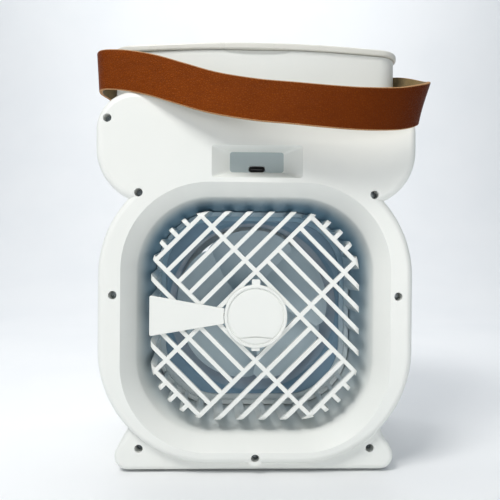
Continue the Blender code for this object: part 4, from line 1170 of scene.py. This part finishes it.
def key_mark(index, centre, face_y):
    """Sunk generic signs: a ring with a bar, three slats, a drop and a lamp's rays."""
    bm = bmesh.new()
    cx, cz = centre
    deep, proud = face_y + 0.0005, face_y - 0.001
    if index == 0:
        open_ring = arc(centre, 0.0021, 125, 415, 20) + arc(centre, 0.0016, 125, 415, 20)[::-1]
        plate_y(open_ring, deep, proud, bm)
        plate_y(rounded_rect(0.00026, 0.0011, 0.00024, (cx, cz + 0.0014), 3), deep, proud, bm)
    elif index == 1:
        for k in (-1, 0, 1):
            width = 0.0019 - 0.0004 * abs(k)
            plate_y(rounded_rect(width, 0.00026, 0.00024, (cx, cz + 0.0010 * k), 3), deep, proud, bm)
    elif index == 2:
        drop = arc((cx, cz - 0.0006), 0.0013, 160, 380, 16) + [(cx, cz + 0.0021)]
        plate_y(drop, deep, proud, bm)
    else:
        plate_y(circle(centre, 0.0009, 20), deep, proud, bm)
        for k in range(8):
            out = Vector((cosd(45 * k), sind(45 * k)))
            wide = Vector((-out.y, out.x)) * 0.0002
            near, end = (Vector(centre) + out * reach for reach in (0.0014, 0.0021))
            ray = [near - wide, end - wide, end + wide, near + wide]
            plate_y([tuple(corner) for corner in ray], deep, proud, bm)
    return bm


def make_inner_parts(steel, green, lamp, lead, seal, cover):
    for node in ("motor_can", "motor_shaft"):
        dress(node, steel)
    # The socket is all black: its black tongue, and painted shade for its dark mouth.
    dress("usb_socket", lead)
    for node in ("main_board", "usb_board"):
        dress(node, green)
    dress("led_strip", lamp)
    dress("motor_lead", lead)
    dress("lid_seal", seal)
    dress("base_plate", cover, 0.0004)


def make_feet(rubber):
    for index in range(1, FEET + 1):
        dress(f"foot_{index}", rubber, 0.0003)


# ---------------------------------------------------------------- stage
def area_light(name, place, target, size, power, colour):
    lamp = bpy.data.lights.new(name, "AREA")
    lamp.shape = "RECTANGLE"
    lamp.size, lamp.size_y = size
    lamp.energy = power
    lamp.color = colour
    made = bpy.data.objects.new(name, lamp)
    made.location = place
    made.rotation_euler = (Vector(target) - Vector(place)).to_track_quat("-Z", "Y").to_euler()
    bpy.context.scene.collection.objects.link(made)
    return made


def sweep_profile():
    """Side view of the backdrop: the floor, then a wide curve up to a wall."""
    bend = 0.7
    wall_y = -1.3
    return [(9.0, 0.0)] + arc((wall_y + bend, bend), bend, -90, -180, 12) + [(wall_y, 3.0)]


def make_stage(stage, top):
    bpy.context.scene.view_settings.view_transform = "Standard"
    bm = bmesh.new()
    rows = [[bm.verts.new((x, y, z)) for x in (-9.0, 9.0)] for y, z in sweep_profile()]
    for a, b in zip(rows, rows[1:]):
        bm.faces.new((a[0], a[1], b[1], b[0]))
    floor = object_from("floor", bm, [top])
    warm = (1.0, 0.98, 0.95)
    lamps = (
        ("key_light", (0.42, 0.62, 0.95), (0.0, 0.04, 0.12), (0.42, 0.34), stage.key_power, warm),
        ("top_light", (0.05, -0.25, 1.30), (0.0, -0.1, 0.10), (1.4, 1.2), stage.top_power, (1.0, 1.0, 1.0)),
        ("wall_light", (0.0, -0.45, 1.30), (0.0, -1.4, 0.45), (1.6, 0.6), stage.wall_power, (1.0, 1.0, 1.0)),
        ("low_light", (-0.25, 0.85, 0.10), (0.0, 0.06, 0.09), (0.6, 0.3), stage.low_power, (1.0, 0.99, 0.95)),
    )
    lights = [area_light(*lamp) for lamp in lamps]
    make_sky(stage.sky, stage.sky_strength)
    make_camera(stage)


def make_sky(colour, strength):
    world = bpy.data.worlds.new("studio")
    world.use_nodes = True
    background = world.node_tree.nodes["Background"]
    background.inputs["Color"].default_value = (*colour, 1.0)
    background.inputs["Strength"].default_value = strength
    bpy.context.scene.world = world


def make_camera(stage):
    lens = bpy.data.cameras.new("camera")
    lens.lens = stage.lens
    lens.clip_start = 0.01
    camera = bpy.data.objects.new("camera", lens)
    camera.location = stage.camera_at
    aim = (Vector(stage.camera_aim) - Vector(stage.camera_at)).to_track_quat("-Z", "Y")
    camera.rotation_euler = (aim.to_matrix() @ Matrix.Rotation(stage.roll, 3, "Z")).to_euler()
    bpy.context.scene.collection.objects.link(camera)
    bpy.context.scene.camera = camera


# ---------------------------------------------------------------- settings
def tint(name, description, default):
    return FloatVectorProperty(name=name, description=description, default=default,
                               subtype="COLOR", min=0, max=1)


def place_of(name, description, default):
    return FloatVectorProperty(name=name, description=description, default=default,
                               subtype="TRANSLATION", unit="LENGTH")


def power(name, description, default):
    return FloatProperty(name=name, description=description, default=default, min=0)


class MistFanColours(bpy.types.PropertyGroup):
    """Linear colours of the finishes."""
    plastic: tint("Casing", "White plastic of the casing and grilles", (0.805, 0.815, 0.785))
    plastic_shade: tint("Casing shade", "Cooler patches of the white plastic", (0.780, 0.798, 0.772))
    # The duct's own plastic is white; this dark blue-grey is painted shade.
    duct: tint("Duct", "Plastic of the duct behind the cage", (0.20, 0.32, 0.43))
    # Painted shade deep inside the air inlet, not a colour of the plastic.
    inlet: tint("Inlet", "Cool tone deep inside the air inlet", (0.270, 0.440, 0.560))
    # Painted shade on the cage near its base, deep in the inlet; the cage's plastic is the casing white.
    cage_root_painted_shade: tint("Cage root", "Cool tone of the cage near its base", (0.480, 0.620, 0.700))
    ivory: tint("Lid", "Warm white of the lid", (0.715, 0.705, 0.655))
    # Grey plastic of the fan, tinted blue as painted shade behind the cage.
    blades: tint("Blades", "Grey-blue plastic of the fan", (0.600, 0.710, 0.760))
    # The grey also stands on the socket pocket's floor as painted shade.
    trim: tint("Trim", "Grey panel, misting bar and socket surround", (0.36, 0.42, 0.43))
    keys: tint("Buttons", "White of the push buttons", (0.74, 0.76, 0.76))
    hide: tint("Leather", "Dyed face of the strap", (0.215, 0.041, 0.0010))
    # hide_dark also colours the painted shade at one end of the strap.
    hide_dark: tint("Leather dark", "Creases and pores of the strap's face", (0.062, 0.008, 0.001))
    hide_edge: tint("Leather edge", "Cut edge of the strap", (0.560, 0.290, 0.120))
    hide_back: tint("Leather back", "Flesh side of the strap", (0.240, 0.150, 0.030))
    brass: tint("Brass", "Studs of the strap", (0.640, 0.440, 0.180))


class MistFanStage(bpy.types.PropertyGroup):
    """Camera and lights."""
    camera_at: place_of("Camera", "Where the camera stands", (0.0133, 0.3710, 0.1243))
    camera_aim: place_of("Aim", "The point at the middle of the view", (0.0037, 0.0610, 0.1233))
    lens: FloatProperty(name="Lens", description="Focal length in millimetres", default=41.15, min=10)
    roll: FloatProperty(name="Roll", description="Tilt about the line of sight",
                        default=0.008, unit="ROTATION")
    key_power: power("Key", "Power of the key light", 8.9)
    top_power: power("Top", "Power of the overhead light", 5.0)
    wall_power: power("Wall", "Power of the backdrop's light", 9.0)
    low_power: power("Low", "Power of the low fill", 1.8)
    sky: tint("Sky", "Colour of the light from all round", (0.72, 0.86, 1.0))
    sky_strength: power("Sky strength", "Strength of that light", 0.22)


FINISHES = {}


def finish(name):
    """A finish by name, made the first time that it's asked for."""
    c = bpy.context.scene.mist_fan_colours
    makers = {
        "casing": lambda: moulded("casing_plastic", c.plastic, c.plastic_shade, 0.34),
        # The pocket floor's grey is painted shade on the white cover.
        "pocket": lambda: moulded("pocket_floor_painted_shade", c.trim, c.trim, 0.45),
        # The inlet's finish carries painted shade deep in the inlet.
        "inlet": lambda: moulded("inlet_plastic_painted_shade", c.plastic, c.plastic_shade, 0.34, deep=c.inlet),
        # The cage's finish carries painted shade near its base.
        "cage": lambda: moulded("cage_plastic_painted_shade", c.plastic, c.plastic_shade, 0.38, 1800.0, deep=c.cage_root_painted_shade),
        "grille": lambda: moulded("grille_plastic", c.plastic, c.plastic_shade, 0.40, 1800.0),
        # The duct's colour is painted shade.
        "duct": lambda: moulded("duct_painted_shade", c.duct, [v * 1.12 for v in c.duct], 0.45),
        "lid": lambda: moulded("lid_plastic", c.ivory, [v * 0.97 for v in c.ivory], 0.30, 2200.0),
        "blades": lambda: moulded("blade_grey_plastic_and_painted_shade", c.blades, [v * 1.12 for v in c.blades], 0.34),
        "trim": lambda: moulded("trim_plastic", c.trim, [v * 0.9 for v in c.trim], 0.42),
        "keys": lambda: moulded("key_plastic", c.keys, c.plastic, 0.33),
        "hide": lambda: leather("strap_grain", c.hide, c.hide_dark),
        "hide_edge": lambda: raw_edge("strap_edge", c.hide_edge, [v * 0.45 for v in c.hide_edge]),
        "hide_back": lambda: suede("strap_flesh", c.hide_back, [v * 0.5 for v in c.hide_back]),
        "brass": lambda: metal("plated_brass", c.brass, [v * 0.7 for v in c.brass], 0.28),
        "steel": lambda: metal("plain_steel_lines", (0.52, 0.52, 0.53), (0.36, 0.36, 0.38), 0.32),
        "screw": lambda: metal("screw_steel", (0.34, 0.37, 0.39), (0.20, 0.22, 0.24), 0.42),
        "foot": lambda: rubbery("foot_rubber_bloom", (0.055, 0.057, 0.060), (0.11, 0.11, 0.115)),
        "seal": lambda: rubbery("seal_silicone_soft", (0.62, 0.64, 0.64), (0.70, 0.72, 0.72), 0.5),
        "lead": lambda: rubbery("lead_sheath", (0.022, 0.022, 0.024), (0.05, 0.05, 0.055), 0.5),
        "board": lambda: circuit("board_mask", (0.012, 0.10, 0.045), (0.25, 0.14, 0.06)),
        "lamp": lambda: moulded("lamp_diffuser", (0.80, 0.80, 0.74), c.ivory, 0.5),
        "wick": lambda: cotton("wick_fibres", (0.78, 0.77, 0.72), (0.58, 0.57, 0.52)),
        "floor": lambda: table_top("pale_floor", (0.86, 0.87, 0.88), (0.83, 0.845, 0.86)),
    }
    if name not in FINISHES:
        FINISHES[name] = makers[name]()
    return FINISHES[name]


# ---------------------------------------------------------------- operators
class Build:
    """What every operator here shares: it can be undone."""
    bl_options = {"REGISTER", "UNDO"}


class MISTFAN_OT_rear_cover(Build, bpy.types.Operator):
    """Rear cover with its recess, socket pocket and screw bosses"""
    bl_idname = "mistfan.rear_cover"
    bl_label = "Rear cover"

    def execute(self, context):
        make_rear_cover(finish("casing"), finish("inlet"), finish("pocket"))
        return {"FINISHED"}


class MISTFAN_OT_front_body(Build, bpy.types.Operator):
    """Front half of the casing with the outlet"""
    bl_idname = "mistfan.front_body"
    bl_label = "Front body"

    def execute(self, context):
        make_front_body(finish("casing"))
        return {"FINISHED"}


class MISTFAN_OT_cage(Build, bpy.types.Operator):
    """Cage over the air inlet"""
    bl_idname = "mistfan.cage"
    bl_label = "Cage"

    def execute(self, context):
        make_cage(finish("cage"))
        return {"FINISHED"}


class MISTFAN_OT_hub(Build, bpy.types.Operator):
    """Motor cap and the arm over its lead"""
    bl_idname = "mistfan.hub"
    bl_label = "Hub and arm"

    def execute(self, context):
        make_hub_cap(finish("grille"))
        make_lead_arm(finish("grille"))
        return {"FINISHED"}


class MISTFAN_OT_outlet(Build, bpy.types.Operator):
    """Outlet grille and its cap"""
    bl_idname = "mistfan.outlet"
    bl_label = "Outlet grille"

    def execute(self, context):
        make_outlet_grille(finish("grille"))
        make_outlet_cap(finish("grille"))
        return {"FINISHED"}


class MISTFAN_OT_fan(Build, bpy.types.Operator):
    """Five wide blades on their hub"""
    bl_idname = "mistfan.fan"
    bl_label = "Fan"

    def execute(self, context):
        make_fan(finish("blades"))
        return {"FINISHED"}


class MISTFAN_OT_duct(Build, bpy.types.Operator):
    """Duct round the blades"""
    bl_idname = "mistfan.duct"
    bl_label = "Duct"

    def execute(self, context):
        make_duct(finish("duct"))
        return {"FINISHED"}


class MISTFAN_OT_tank(Build, bpy.types.Operator):
    """Water tank"""
    bl_idname = "mistfan.tank"
    bl_label = "Tank"

    def execute(self, context):
        make_tank(finish("casing"))
        return {"FINISHED"}


class MISTFAN_OT_lid(Build, bpy.types.Operator):
    """Lift-off lid"""
    bl_idname = "mistfan.lid"
    bl_label = "Lid"

    def execute(self, context):
        make_lid(finish("lid"))
        return {"FINISHED"}


class MISTFAN_OT_strap(Build, bpy.types.Operator):
    """Leather carry strap"""
    bl_idname = "mistfan.strap"
    bl_label = "Strap"

    def execute(self, context):
        make_strap(finish("hide"), finish("hide_edge"), finish("hide_back"))
        return {"FINISHED"}


class MISTFAN_OT_studs(Build, bpy.types.Operator):
    """Studs and washers that hold the strap"""
    bl_idname = "mistfan.studs"
    bl_label = "Studs and washers"

    def execute(self, context):
        make_strap_fittings(finish("brass"), finish("foot"))
        return {"FINISHED"}


class MISTFAN_OT_screws(Build, bpy.types.Operator):
    """Nine case screws"""
    bl_idname = "mistfan.screws"
    bl_label = "Screws"

    def execute(self, context):
        make_screws(finish("screw"))
        return {"FINISHED"}


class MISTFAN_OT_mist(Build, bpy.types.Operator):
    """Misting bar, nozzles, discs and wicks"""
    bl_idname = "mistfan.mist"
    bl_label = "Misting row"

    def execute(self, context):
        make_mist_row(finish("keys"), finish("trim"), finish("steel"), finish("wick"))
        return {"FINISHED"}


class MISTFAN_OT_controls(Build, bpy.types.Operator):
    """Control panel and four push buttons"""
    bl_idname = "mistfan.controls"
    bl_label = "Controls"

    def execute(self, context):
        make_controls(finish("trim"), finish("keys"), finish("lamp"))
        return {"FINISHED"}


class MISTFAN_OT_inner(Build, bpy.types.Operator):
    """Motor, boards, leads, seal and bottom cover"""
    bl_idname = "mistfan.inner"
    bl_label = "Inner parts"

    def execute(self, context):
        make_inner_parts(finish("steel"), finish("board"), finish("lamp"), finish("lead"), finish("seal"),
                         finish("casing"))
        return {"FINISHED"}


class MISTFAN_OT_feet(Build, bpy.types.Operator):
    """Four rubber feet"""
    bl_idname = "mistfan.feet"
    bl_label = "Feet"

    def execute(self, context):
        make_feet(finish("foot"))
        return {"FINISHED"}


class MISTFAN_OT_stage(Build, bpy.types.Operator):
    """Floor, lights and camera"""
    bl_idname = "mistfan.stage"
    bl_label = "Stage"

    def execute(self, context):
        make_stage(context.scene.mist_fan_stage, finish("floor"))
        return {"FINISHED"}


OPERATORS = (
    MISTFAN_OT_rear_cover, MISTFAN_OT_front_body, MISTFAN_OT_cage, MISTFAN_OT_hub, MISTFAN_OT_outlet,
    MISTFAN_OT_fan, MISTFAN_OT_duct, MISTFAN_OT_tank, MISTFAN_OT_lid, MISTFAN_OT_strap, MISTFAN_OT_studs,
    MISTFAN_OT_screws, MISTFAN_OT_mist, MISTFAN_OT_controls, MISTFAN_OT_inner, MISTFAN_OT_feet,
    MISTFAN_OT_stage,
)


class MISTFAN_PT_panel(bpy.types.Panel):
    """Every step of the build, in order"""
    bl_idname = "MISTFAN_PT_panel"
    bl_label = "Misting fan"
    bl_space_type = "VIEW_3D"
    bl_region_type = "UI"
    bl_category = "Misting fan"

    def draw(self, context):
        for step in OPERATORS:
            self.layout.operator(step.bl_idname)
        for group in (context.scene.mist_fan_colours, context.scene.mist_fan_stage):
            box = self.layout.box()
            for setting in group.__annotations__:
                box.prop(group, setting)


CLASSES = (MistFanColours, MistFanStage) + OPERATORS + (MISTFAN_PT_panel,)


def register():
    for cls in CLASSES:
        bpy.utils.register_class(cls)
    bpy.types.Scene.mist_fan_colours = PointerProperty(type=MistFanColours)
    bpy.types.Scene.mist_fan_stage = PointerProperty(type=MistFanStage)


def unregister():
    del bpy.types.Scene.mist_fan_stage
    del bpy.types.Scene.mist_fan_colours
    for cls in reversed(CLASSES):
        bpy.utils.unregister_class(cls)


def main():
    register()
    for step in OPERATORS:
        group, name = step.bl_idname.split(".")
        if getattr(getattr(bpy.ops, group), name)() != {"FINISHED"}:
            raise RuntimeError(f"{step.bl_label} didn't finish")


if __name__ == "__main__":
    main()
